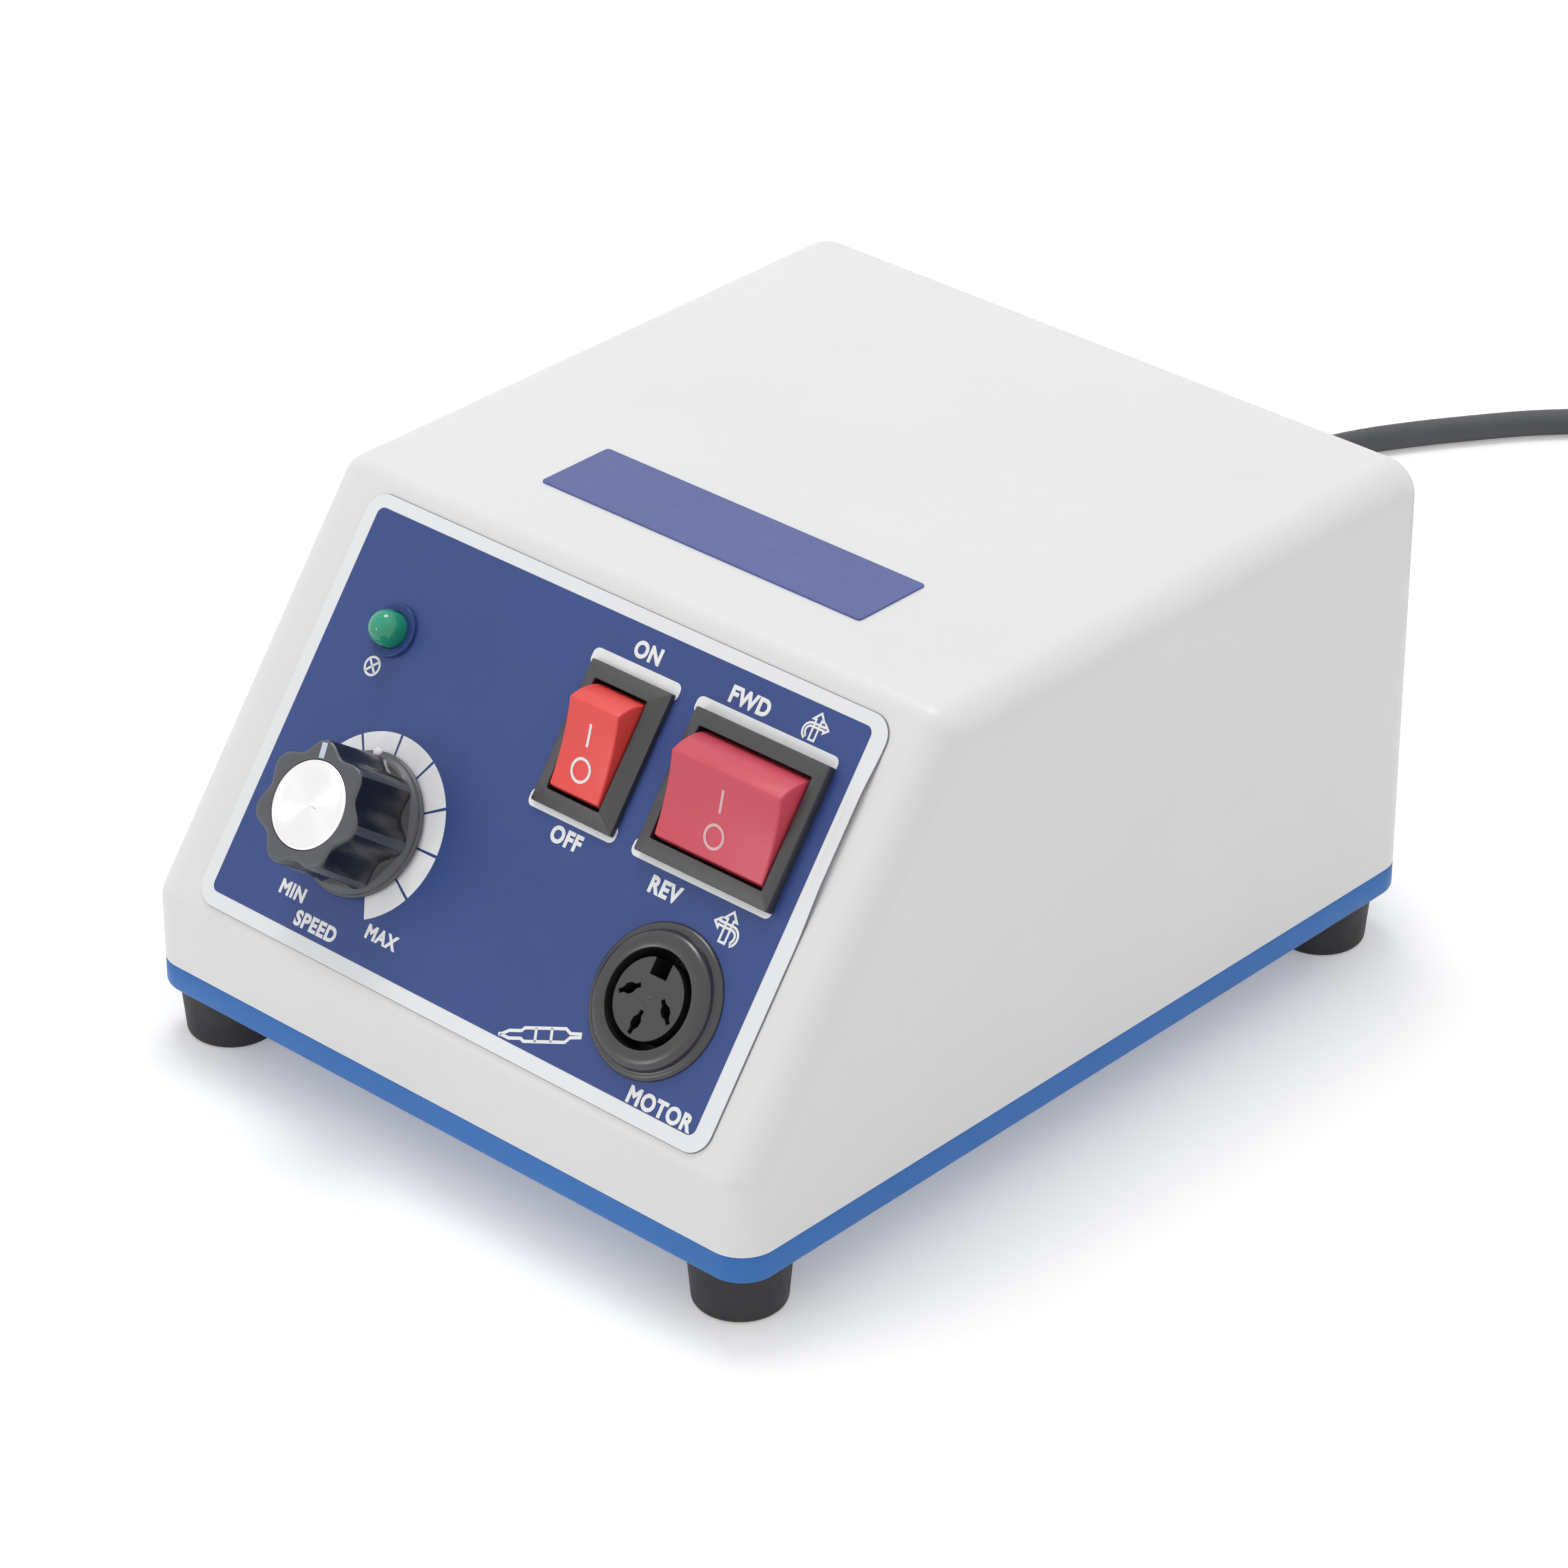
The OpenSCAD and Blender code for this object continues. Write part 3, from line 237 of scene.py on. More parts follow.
# words in the built-in font, made bold by a low rounded rim, squeezed and set about a centre with a
# given height; only the upper side is kept, and it stands a hair over the surface
def lettering(words, centre, height):
    curve = bpy.data.curves.new("letters", "FONT")
    curve.body = words
    curve.bevel_depth = letterStyle["weight"]
    curve.space_character = letterStyle["spacing"]
    curve.bevel_resolution = 1
    curve.resolution_u = letterStyle["curveSteps"]
    holder = addObject("letters", curve)
    bpy.context.view_layer.update()
    mesh = bpy.data.meshes.new_from_object(holder.evaluated_get(bpy.context.evaluated_depsgraph_get()))
    points = readAll(mesh.vertices, "co", 3)
    faces = [list(p.vertices) for p in mesh.polygons
             if p.normal.z > letterStyle["leastUp"] and p.center.z > 0]
    low = points.min(0)
    high = points.max(0)
    scale = height / (high[1] - low[1])
    flat = (points[:, :2] - (low + high)[:2] / 2) * [scale * letterStyle["squeeze"], scale] + centre
    bpy.data.objects.remove(holder)
    bpy.data.curves.remove(curve)
    bpy.data.meshes.remove(mesh)
    return np.column_stack([flat, points[:, 2] / letterStyle["weight"] * letterStyle["rise"]]), faces


# local points go to their seat: an origin and three axes in the row frame
def seated(part, seat):
    points, faces = part
    return seat[0] + points @ seat[1], faces


# flat parts get a height over the surface of their seat
def raised(part, height, seat):
    flat, faces = part
    return seated((np.column_stack([flat, np.full(len(flat), height)]), faces), seat)


weld = 1e-7  # metres within which points of a closed piece become one


# one mesh from several parts, at the origin, riding on a body
def addPiece(name, parts, material, body="case", replaced=(), sharp=35, closed=True):
    points = []
    faces = []
    count = 0
    for part, partFaces in parts:
        points.append(part)
        faces += [[v + count for v in face] for face in partFaces]
        count += len(part)
    used, place = np.unique(np.concatenate(faces), return_inverse=True)
    sizes = np.cumsum([len(face) for face in faces])[:-1]
    kept = np.vstack(points)[used] * mm
    mesh = bpy.data.meshes.new(name)
    mesh.from_pydata(kept.tolist(), [], [run.tolist() for run in np.split(place, sizes)])
    if closed:
        solid = bmesh.new()
        solid.from_mesh(mesh)
        bmesh.ops.remove_doubles(solid, verts=solid.verts, dist=weld)
        bmesh.ops.dissolve_degenerate(solid, edges=solid.edges, dist=weld)
        bmesh.ops.recalc_face_normals(solid, faces=solid.faces)
        solid.to_mesh(mesh)
        solid.free()
    mesh.polygons.foreach_set("use_smooth", np.ones(len(mesh.polygons), bool))
    mesh.set_sharp_from_angle(angle=math.radians(sharp))
    mesh.materials.append(material)
    mesh.update()
    piece = addObject(name, mesh)
    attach(piece, body)
    if replaced:
        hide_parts(*replaced)
    return piece


# Finishes

# a colour as seen on a screen, 0 to 255, becomes the linear colour that a shader takes, times a factor
def shade(colour, factor=1):
    seen = np.array(colour) / 255
    linear = np.where(seen <= 0.04045, seen / 12.92, ((seen + 0.055) / 1.055) ** 2.4)
    return (*np.clip(linear * factor, 0, 1).tolist(), 1)


# a shader node with its settings and the values of its inputs
def addNode(tree, kind, inputs=None, **settings):
    node = tree.nodes.new(kind)
    for key, value in settings.items():
        setattr(node, key, value)
    for key, value in (inputs or {}).items():
        node.inputs[key].default_value = value
    return node


# a material whose main shader has the given values
def startMaterial(name, sockets):
    material = bpy.data.materials.new(name)
    material.use_nodes = True
    tree = material.node_tree
    shader = tree.nodes["Principled BSDF"]
    for key, value in sockets.items():
        shader.inputs[key].default_value = value
    return material, tree, shader


# outputs of other nodes go to the shader's sockets of the given names
def linkAll(tree, shader, outputs):
    for socket, output in outputs.items():
        tree.links.new(output, shader.inputs[socket])


noiseLow = 0.3  # most of a noise lies between these two
noiseHigh = 0.7


# soft grey noise over a vector
def cloud(tree, vector, scale, detail, roughness=0.5):
    noise = addNode(tree, "ShaderNodeTexNoise", {"Scale": scale, "Detail": detail, "Roughness": roughness})
    tree.links.new(vector, noise.inputs["Vector"])
    return noise.outputs["Fac"]


# two colours mixed by a soft noise
def mottled(tree, vector, scale, dark, light):
    ramp = addNode(tree, "ShaderNodeValToRGB")
    ends = ramp.color_ramp.elements
    ends[0].position = noiseLow
    ends[0].color = dark
    ends[1].position = noiseHigh
    ends[1].color = light
    tree.links.new(cloud(tree, vector, scale, detail=3, roughness=0.55), ramp.inputs["Fac"])
    return ramp.outputs["Color"]


# a roughness that wanders about its middle
def wandering(tree, vector, scale, middle, spread):
    limits = {"From Min": noiseLow, "From Max": noiseHigh,
              "To Min": middle - spread, "To Max": middle + spread}
    span = addNode(tree, "ShaderNodeMapRange", limits)
    tree.links.new(cloud(tree, vector, scale, detail=4), span.inputs["Value"])
    return span.outputs["Result"]


# fine relief of a moulded or coated skin
def grained(tree, vector, scale, strength, depth):
    bump = addNode(tree, "ShaderNodeBump", {"Strength": strength, "Distance": depth})
    tree.links.new(cloud(tree, vector, scale, detail=2), bump.inputs["Height"])
    return bump.outputs["Normal"]


skin = dict(glossScale=6, glossSpread=0.14, grainDepth=0.00006)


# plastic, rubber, ink or bare metal: colour, mottle, wandering gloss and a fine grain
def surface(name, colour, rough, mottle=0.03, blotch=35, grain=2600, relief=0.12, **sockets):
    material, tree, shader = startMaterial(name, {k.replace("_", " "): v for k, v in sockets.items()})
    vector = addNode(tree, "ShaderNodeTexCoord").outputs["Object"]
    linkAll(tree, shader, {
        "Base Color": mottled(tree, vector, blotch, shade(colour, 1 - mottle), shade(colour, 1 + mottle)),
        "Roughness": wandering(tree, vector, blotch * skin["glossScale"], rough, rough * skin["glossSpread"]),
        "Normal": grained(tree, vector, grain, relief, skin["grainDepth"])})
    return material


spun = dict(rings=(3, 420, 1), dark=0.9, stretch=0.82, glossSpread=0.05, relief=0.06, depth=0.00002)


# spun metal: fine rings along the piece's own turn map, stretched gloss round the centre
def spunMetal(name, colour, rough):
    material, tree, shader = startMaterial(name, {"Metallic": 1.0, "Anisotropic": spun["stretch"]})
    turnMap = addNode(tree, "ShaderNodeUVMap", uv_map="turn").outputs["UV"]
    rings = addNode(tree, "ShaderNodeMapping", {"Scale": spun["rings"]})
    tree.links.new(turnMap, rings.inputs["Vector"])
    along = rings.outputs["Vector"]
    tangent = addNode(tree, "ShaderNodeTangent", direction_type="UV_MAP", uv_map="turn")
    linkAll(tree, shader, {
        "Base Color": mottled(tree, along, 1, shade(colour, spun["dark"]), shade(colour)),
        "Roughness": wandering(tree, along, 1, rough, spun["glossSpread"]),
        "Normal": grained(tree, along, 1, spun["relief"], spun["depth"]),
        "Tangent": tangent.outputs["Tangent"]})
    return material


shellWhite = surface("shellWhite", (240, 240, 240), 0.42, mottle=0.012, grain=3600, relief=0.1)
baseBlue = surface("baseBlue", (60, 120, 195), 0.42, mottle=0.05, relief=0.1, Specular_IOR_Level=0.3)
footRubber = surface("footRubber", (44, 44, 47), 0.62, mottle=0.15, grain=1800, relief=0.3)
filmWhite = surface("filmWhite", (246, 248, 250), 0.4, mottle=0.015, grain=5200, relief=0.1)
# grey of the film's slanted side wall: a painted shadow line round the film's edge
filmEdgeShadeGrey = surface("filmEdgeShadeGrey", (128, 131, 138), 0.5, mottle=0.1, blotch=120)
filmNavy = surface("filmNavy", (50, 75, 140), 0.46, mottle=0.06, blotch=60, grain=5200, relief=0.18)
labelNavy = surface("labelNavy", (84, 97, 160), 0.4, mottle=0.05, blotch=60, grain=4200, relief=0.15)
inkWhite = surface("inkWhite", (249, 250, 252), 0.5, mottle=0.03, blotch=400, grain=6000, relief=0.1)
knobBlack = surface("knobBlack", (20, 20, 23), 0.26, mottle=0.15, grain=2000, relief=0.03,
                    Specular_IOR_Level=0.7)
# the knob's black plastic made lighter and less glossy: painted light on its front, skirt and ridges
knobLitGrey = surface("knobLitGrey", (73, 75, 81), 0.44, mottle=0.08, grain=2600, relief=0.15,
                   Specular_IOR_Level=0.8)
# the pointer's white ink toned down to blue-grey: painted shade
pointerInkShaded = surface("pointerInkShaded", (206, 216, 232), 0.45, mottle=0.03, blotch=400)
capMetal = spunMetal("capMetal", (251, 251, 252), 0.3)
switchBlack = surface("switchBlack", (44, 44, 48), 0.4, mottle=0.1, grain=4200, relief=0.2,
                      Specular_IOR_Level=0.9)
rockerRed = surface("rockerRed", (248, 80, 74), 0.34, mottle=0.04, grain=700, relief=0.008)
# the wide rocker's red made pinker: partly its own tone, partly a painted sheen off its face
rockerRoseSheen = surface("rockerRoseSheen", (219, 78, 96), 0.34, mottle=0.04, grain=700, relief=0.008)
roseInk = surface("roseInk", (236, 190, 196), 0.45, mottle=0.03, blotch=400)
socketBlack = surface("socketBlack", (38, 38, 42), 0.3, mottle=0.1, grain=3000, relief=0.08,
                      Specular_IOR_Level=0.9)
lampGreen = surface("lampGreen", (40, 166, 130), 0.1, mottle=0.1, blotch=420, relief=0.01,
                    Subsurface_Weight=0.6, Subsurface_Radius=(0.5, 1.0, 0.8), Subsurface_Scale=0.0015,
                    IOR=1.5, Coat_Weight=0.2)
clipClear = surface("clipClear", (54, 79, 144), 0.2, mottle=0.05, relief=0.01, Transmission_Weight=0.2,
                    IOR=1.4, Specular_IOR_Level=0.3)
leadGrey = surface("leadGrey", (77, 79, 84), 0.5, mottle=0.08, blotch=90, grain=2600, relief=0.2)
bootBlack = surface("bootBlack", (36, 36, 39), 0.55, mottle=0.12, grain=2000, relief=0.25)
nickel = surface("nickel", (205, 202, 196), 0.26, mottle=0.06, blotch=200, relief=0.04, Metallic=1.0)
steel = surface("steel", (188, 190, 194), 0.34, mottle=0.08, blotch=160, relief=0.08, Metallic=1.0)
brass = surface("brass", (206, 172, 96), 0.33, mottle=0.1, blotch=160, relief=0.08, Metallic=1.0)
copper = surface("copper", (176, 98, 54), 0.36, mottle=0.15, blotch=300, grain=900, relief=0.3, Metallic=1.0)
coreIron = surface("coreIron", (104, 106, 112), 0.5, mottle=0.12, blotch=260, Metallic=0.8)
sinkMetal = surface("sinkMetal", (190, 193, 198), 0.38, mottle=0.06, blotch=120, Metallic=1.0)
boardGreen = surface("boardGreen", (26, 104, 66), 0.36, mottle=0.14, blotch=220)
partBlack = surface("partBlack", (30, 30, 33), 0.5, mottle=0.1)
sleeveNavy = surface("sleeveNavy", (44, 54, 110), 0.4, mottle=0.06)
print("finishes made")


# Camera at the photograph's place

view = dict(place=(0.4982, -0.5532, 0.4637), back=(0.5840, -0.6354, 0.5051), lens=136.95, sensor=36,
            nearest=0.05)


# a camera or lamp goes to its place and looks along a direction
def aimed(holder, place, way):
    holder.location = place
    holder.rotation_euler = way.to_track_quat("-Z", "Y").to_euler()
    return holder


cameraData = bpy.data.cameras.new("photoCamera")
cameraData.lens = view["lens"]
cameraData.sensor_width = view["sensor"]
cameraData.sensor_fit = "HORIZONTAL"
cameraData.clip_start = view["nearest"]
bpy.context.scene.camera = aimed(addObject("photoCamera", cameraData), view["place"], -Vector(view["back"]))


# Case: a rounded wedge, its sloped front a panel with a seat of its own

case = dict(seamZ=12.5, frontWall=11.2, slopeDeg=53.2, edge=5.5, brow=3.3, wall=2.5)


# lowest and highest corner of a CAD node
def nodeBox(name):
    return np.array([list(corner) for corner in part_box(name)]) / mm


shellLow, shellHigh = nodeBox("upper_housing")
frontY = shellLow[1]
rearY = shellHigh[1]
caseWidth = shellHigh[0] - shellLow[0]
caseLength = rearY - frontY
topZ = shellHigh[2]
panelZ = case["seamZ"] + case["frontWall"]
slope = math.radians(case["slopeDeg"])
slopeLength = (topZ - panelZ) / math.sin(slope)
browY = frontY + slopeLength * math.cos(slope)
upSlope = [0, math.cos(slope), math.sin(slope)]
outOfSlope = [0, -math.sin(slope), math.cos(slope)]
panelAxes = np.array([[1, 0, 0], upSlope, outOfSlope])


# a place on the panel: x across, v up the slope from the lower break, local Z out of it
def onPanel(x, v):
    return np.array([x, frontY, panelZ]) + v * panelAxes[1], panelAxes


# a place on the rear wall, local Z out of it
def onRear(x, z):
    return np.array([x, rearY, z]), np.array([[0, 0, 1.0], [1.0, 0, 0], [0, 1.0, 0]])


# a place at a height over the floor, local Z up
def onFloor(x, y, z=0):
    return np.array([x, y, z]), np.eye(3)


panelSeat = onPanel(0, 0)


# Mains lead: out of the strain relief, down to the floor and into a flat coil of two layers

lead = dict(diameter=4.4, sides=16, turns=8.25, outer=37, pitch=5.0, startDeg=130, low=2.8, tail=25,
            tailKnots=4, coilRight=79, coilBack=127, knotsPerTurn=24, stepsPerKnot=3)

# right of the strain relief, behind its end, height of the middle, in metres
leadRoute = [[0, 0, 0.026], [0, 0.009, 0.026], [-0.0005, 0.018, 0.025], [-0.0015, 0.028, 0.022],
             [-0.003, 0.038, 0.0175], [-0.005, 0.048, 0.012], [-0.007, 0.058, 0.007],
             [-0.0085, 0.067, 0.0035], [-0.0085, 0.076, 0.0022], [-0.0065, 0.085, 0.0022],
             [-0.003, 0.0935, 0.0022], [0.002, 0.102, 0.0022], [0.0075, 0.11, 0.0022],
             [0.0135, 0.118, 0.0022], [0.0205, 0.1255, 0.0022], [0.028, 0.1325, 0.0022],
             [0.036, 0.1392, 0.0022], [0.044, 0.1458, 0.0024]]

leadRadius = lead["diameter"] / 2
bootLow, bootHigh = nodeBox("strain_relief")
bootMiddle = (bootLow + bootHigh) / 2
leadExit = np.array([bootMiddle[0], bootHigh[1], 0])
coilCentre = leadExit + [lead["coilRight"], lead["coilBack"], 0]
coilInner = lead["outer"] - lead["pitch"] * lead["turns"] / 2


# the radius falls by a pitch a turn to the middle of the winding and rises again after it, while the
# height climbs to the second layer in the half turn where the spiral reverses
def coilPoints(turn):
    angle = np.radians(lead["startDeg"] - 360 * turn)
    pastMiddle = turn - lead["turns"] / 2
    radius = coilInner + lead["pitch"] * np.abs(pastMiddle)
    height = lead["low"] + lead["pitch"] * smoothStep(2 * pastMiddle + 0.5)
    return coilCentre + np.column_stack([radius * np.cos(angle), radius * np.sin(angle), height])


# the way that the lead runs at a turn: square to the radius, clockwise from above
def coilHeading(turn):
    angle = math.radians(lead["startDeg"] - 360 * turn)
    return np.array([math.sin(angle), -math.cos(angle), 0])


# smooth curve through all knots: on each step a cubic that leaves and arrives along its neighbours
def smoothPath(knots, steps):
    padded = np.vstack([2 * knots[0] - knots[1], knots, 2 * knots[-1] - knots[-2]])
    a, b, c, d = (k[:, None] for k in (padded[:-3], padded[1:-2], padded[2:-1], padded[3:]))
    t = np.linspace(0, 1, steps, endpoint=False)[None, :, None]
    curve = b + 0.5 * t * (c - a + t * (2 * a - 5 * b + 4 * c - d + t * (3 * (b - c) + d - a)))
    return np.vstack([curve.reshape(-1, 3), knots[-1]])


# round section carried along a path, square to it
def tube(path, diameter, sides):
    along = unit(np.gradient(path, axis=0))
    side = unit(np.cross([0, 0, 1], along))
    up = np.cross(along, side)
    angle = np.linspace(0, 2 * math.pi, sides, endpoint=False)[None, :, None]
    rings = path[:, None] + diameter / 2 * (np.cos(angle) * side[:, None] + np.sin(angle) * up[:, None])
    return loft(rings)


coilTurns = np.arange(0, lead["turns"] + 0.001, 1 / lead["knotsPerTurn"])  # with the last turn's end
windings = coilPoints(coilTurns)
coilEntry = windings[0] - lead["diameter"] * coilHeading(0)
plugHeading = coilHeading(lead["turns"])
plugStart = windings[-1] + lead["tail"] * plugHeading
tailShares = np.arange(1, lead["tailKnots"] + 1)[:, None] / lead["tailKnots"]
tail = windings[-1] + (plugStart - windings[-1]) * tailShares
leadKnots = np.vstack([leadExit + np.array(leadRoute) / mm, coilEntry, windings, tail])
leadPath = smoothPath(leadKnots, lead["stepsPerKnot"])
leadPath[:, 2] = np.maximum(leadPath[:, 2], leadRadius)  # on the floor, and inside the CAD box
leadPath[:, 1] = np.minimum(leadPath[:, 1], cadBox[1][1] / mm - leadRadius)
leadPiece = addPiece("mainsLead", [tube(leadPath, lead["diameter"], lead["sides"])], leadGrey,
                     replaced=("mains_lead", "lead_coil"))


# Plug: rounded sections from a slim neck to a wide face, with two round pins

plug = dict(neck=(8, 9), shoulder=(33.4, 15.4), face=(35, 15.6), length=36, neckLength=12, neckShare=0.55,
            shoulderAt=20, cornerShare=0.4, sections=40, lastSection=0.8, pinGap=18.6, pinRadius=2,
            pinLength=19, pinRound=1.3)
# how far below the face each ring of its round edge lies, and how far it draws in
plugEdge = np.array([[0.4, 0.12], [0.15, 0.4], [0, 0.9]])

plugSeat = (plugStart, np.array([[plugHeading[1], -plugHeading[0], 0], [0, 0, 1], plugHeading]))


# width and thickness grow from neck to shoulder along a soft step, and from there evenly to the face
def plugSections(heights):
    neck, shoulder, face = (np.array(plug[key]) for key in ("neck", "shoulder", "face"))
    start = plug["neckLength"] * plug["neckShare"]
    widen = smoothStep((heights - start) / (plug["shoulderAt"] - start))[:, None]
    spread = np.clip((heights - plug["shoulderAt"]) / (plug["length"] - plug["shoulderAt"]), 0, 1)[:, None]
    return neck + widen * (shoulder - neck) + spread * (face - shoulder)


plugHeights = np.concatenate([np.linspace(0, plug["length"] - plug["lastSection"], plug["sections"]),
                              plug["length"] - plugEdge[:, 0]])
plugInsets = np.concatenate([np.zeros(plug["sections"]), plugEdge[:, 1]])
plugOutlines = [roundRect(*size, min(size) * plug["cornerShare"], inset=inset)
                for size, inset in zip(plugSections(plugHeights), plugInsets)]
plugPiece = addPiece("plugBody", [seated(loft(stack(plugOutlines, plugHeights)), plugSeat)], bootBlack,
                     replaced=("plug_body",))

pinOutline = filleted([[0, 0], [plug["pinRadius"], 0], [plug["pinRadius"], plug["pinLength"]],
                       [0, plug["pinLength"]]], [0, 0, plug["pinRound"], 0])
pinProfile = pinOutline + [0, plug["length"]]
pinSeats = [(plugStart + side * plug["pinGap"] / 2 * plugSeat[1][0], plugSeat[1]) for side in (-1, 1)]
pinPiece = addPiece("plugPins", [seated(turned(pinProfile, sides=32), seat) for seat in pinSeats], nickel,
                    replaced=("plug_pins",))


# Tie round the coil: a flat band carried round a rounded rectangle

tie = dict(deg=250, width=5, thick=0.4, room=0.7, corner=1.8)

tieLow = coilInner - leadRadius - tie["room"]
tieHigh = lead["outer"] + leadRadius + tie["room"]
tieTop = lead["low"] + lead["pitch"] + leadRadius + tie["thick"]
tieAngle = math.radians(tie["deg"])
tieOut = np.array([math.cos(tieAngle), math.sin(tieAngle), 0])
tieSide = np.array([-math.sin(tieAngle), math.cos(tieAngle), 0])
tieMiddle = coilCentre + tieOut * (tieLow + tieHigh) / 2 + [0, 0, (tieTop + tie["thick"]) / 2]
tieSeat = (tieMiddle, np.array([tieOut, [0, 0, 1], tieSide]))
tieInner = roundRect(tieHigh - tieLow, tieTop - tie["thick"], tie["corner"])
tieOuter = roundRect(tieHigh - tieLow + 2 * tie["thick"], tieTop + tie["thick"], tie["corner"] + tie["thick"])
tieHalf = tie["width"] / 2
tieRings = stack([tieOuter, tieOuter, tieInner, tieInner], [tieHalf, -tieHalf, -tieHalf, tieHalf])
tiePiece = addPiece("coilTie", [seated(loft(tieRings, wrap=True), tieSeat)], bootBlack,
                    replaced=("coil_tie",))


# Holes of the panel and the rear wall: panel places are x across and v up the slope

places = dict(lamp=(-34.7, 47.7), knob=(-25.4, 21.6), power=(7.4, 45.4), direction=(31.9, 45.4),
              socket=(32.4, 17.8))
panelOpenings = dict(lamp=3.4, knob=4.1, power=(12.2, 19.4), direction=(22.8, 19.4), socket=8.37)
rearOpenings = dict(strain_relief=4.8, foot_jack=4.65, fuse_holder=6.2)
holes = dict(sides=48, corner=0.3, cornerSteps=2)


# round or square hole at a place of the panel, anticlockwise
def panelHole(key):
    size = panelOpenings[key]
    if isinstance(size, tuple):
        return roundRect(*size, holes["corner"], holes["cornerSteps"]) + places[key]
    return circlePoints(places[key], size, holes["sides"])


# round hole of the rear wall about the middle of a node; the wall's local x runs up
def rearHole(name, radius):
    middle = nodeBox(name).mean(0)
    return circlePoints((middle[2], middle[0]), radius, holes["sides"])


panelHoles = [panelHole(key) for key in places]
rearHoles = [rearHole(*opening) for opening in rearOpenings.items()]


# Upper housing: the side outline of the wedge carried across the width with round edges; the flat
# panel and the rear wall are sheets with holes whose edges go in by the wall

wedge = [[frontY, case["seamZ"]], [rearY, case["seamZ"]], [rearY, topZ], [browY, topZ], [frontY, panelZ]]
wedgeRadii = [0, 0, case["edge"], case["brow"], case["edge"]]
wedgeDepth = [0] + [case["edge"]] * 4
wedgeSteps = 14
rearCorner = 1
panelCorner = 3
shellPoints, shellFaces = pillow(wedge, wedgeRadii, wedgeDepth, caseWidth, case["edge"], wedgeSteps)
ringSize = len(wedge) * (wedgeSteps + 1)


# number of the flat face that follows a corner of the outline, between the two round edges: all faces
# of the first round edge come before it, and so do the steps of the corners up to its own
def flatFace(corner):
    return (wedgeSteps + 1) * ringSize + corner * (wedgeSteps + 1) + wedgeSteps


# that face as a sheet in its seat, with holes and their edges
def openedFace(corner, seat, openings):
    local = (shellPoints[shellFaces[flatFace(corner)]] - seat[0]) @ seat[1].T
    parts = [raised(sheetWithHoles(local[:, :2], openings), 0, seat)]
    for hole in openings:
        rings = stack([hole, hole], [0, -case["wall"]])
        parts.append(seated(loft(rings, capStart=False, capEnd=False), seat))
    return parts


shellParts = openedFace(panelCorner, panelSeat, panelHoles)
shellParts += openedFace(rearCorner, onRear(0, 0), rearHoles)
replacedFaces = {flatFace(panelCorner), flatFace(rearCorner)}
shellFaces = [face for i, face in enumerate(shellFaces) if i not in replacedFaces]
addPiece("upperHousing", [(shellPoints, shellFaces), *shellParts], shellWhite,
         replaced=("upper_housing",), sharp=60)


# Base tray: the plan of the case with a soft lower edge, closed above and below

tray = dict(low=8.0, lowRound=0.9, lip=0.3, closing=3, edgeSteps=6, cornerSteps=12)

edgeTurn = np.linspace(0, math.pi / 2, tray["edgeSteps"] + 1)
trayInsets = np.concatenate([[tray["closing"], tray["lip"], 0], tray["lowRound"] * (1 - np.cos(edgeTurn)),
                             [tray["closing"]]])
trayHeights = np.concatenate([[case["seamZ"], case["seamZ"], case["seamZ"] - tray["lip"]],
                              tray["low"] + tray["lowRound"] * (1 - np.sin(edgeTurn)), [tray["low"]]])
trayOutlines = [roundRect(caseWidth, caseLength, case["edge"], tray["cornerSteps"], inset)
                for inset in trayInsets]
traySeat = onFloor(0, (frontY + rearY) / 2)
addPiece("baseTray", [seated(loft(stack(trayOutlines, trayHeights)), traySeat)], baseBlue,
         replaced=("base_tray",), sharp=50)


# Feet: tapered rubber buttons with round lower edges and a recess for the screw

foot = dict(topRadius=7.3, lowRadius=6.6, height=8, lowRound=0.9, topRound=0.25, recess=3.2, recessDepth=5.6,
            recessRound=0.4)

footProfile = filleted([[0, foot["height"]], [0, foot["recessDepth"]], [foot["recess"], foot["recessDepth"]],
                        [foot["recess"], 0], [foot["lowRadius"], 0], [foot["topRadius"], foot["height"]]],
                       [0, 0, 0, foot["recessRound"], foot["lowRound"], foot["topRound"]])
for end in ("front", "rear"):
    for side in ("left", "right"):
        node = f"foot_{end}_{side}"
        footSeat = onFloor(*nodeBox(node).mean(0)[:2])
        addPiece("foot" + end.title() + side.title(), [seated(turned(footProfile, sides=72), footSeat)],
                 footRubber, replaced=(node,))
print("case made")


# Front overlay: a thin film with round corners; its upper right edge has come up a little

overlay = dict(shift=0.5, low=1.6, high=2.9, side=8.9, thick=0.3, corner=3.5, cornerSteps=10, bevel=0.12,
               borderLeft=2.3, borderRight=2.8, borderTop=2.05, borderLow=2.3, fieldCorner=1.2, step=0.03)
# height and width of the lifted edge, its points, and where it rises and falls as shares of the length
liftedEdge = dict(height=0.55, width=2.2, points=60, riseFrom=-0.02, rise=0.16, fallTo=0.44, fall=0.12)

filmTop = overlay["thick"]
overlayWidth = caseWidth - 2 * overlay["side"]
overlayLength = slopeLength - overlay["low"] - overlay["high"]
filmShift = np.array([overlay["shift"], overlay["low"] + overlayLength / 2])
filmSeat = onPanel(*filmShift)
filmOutlines = [roundRect(overlayWidth, overlayLength, overlay["corner"], overlay["cornerSteps"], inset)
                for inset in (0, overlay["bevel"], liftedEdge["width"])]
filmRings = stack(filmOutlines, [0, filmTop, filmTop])


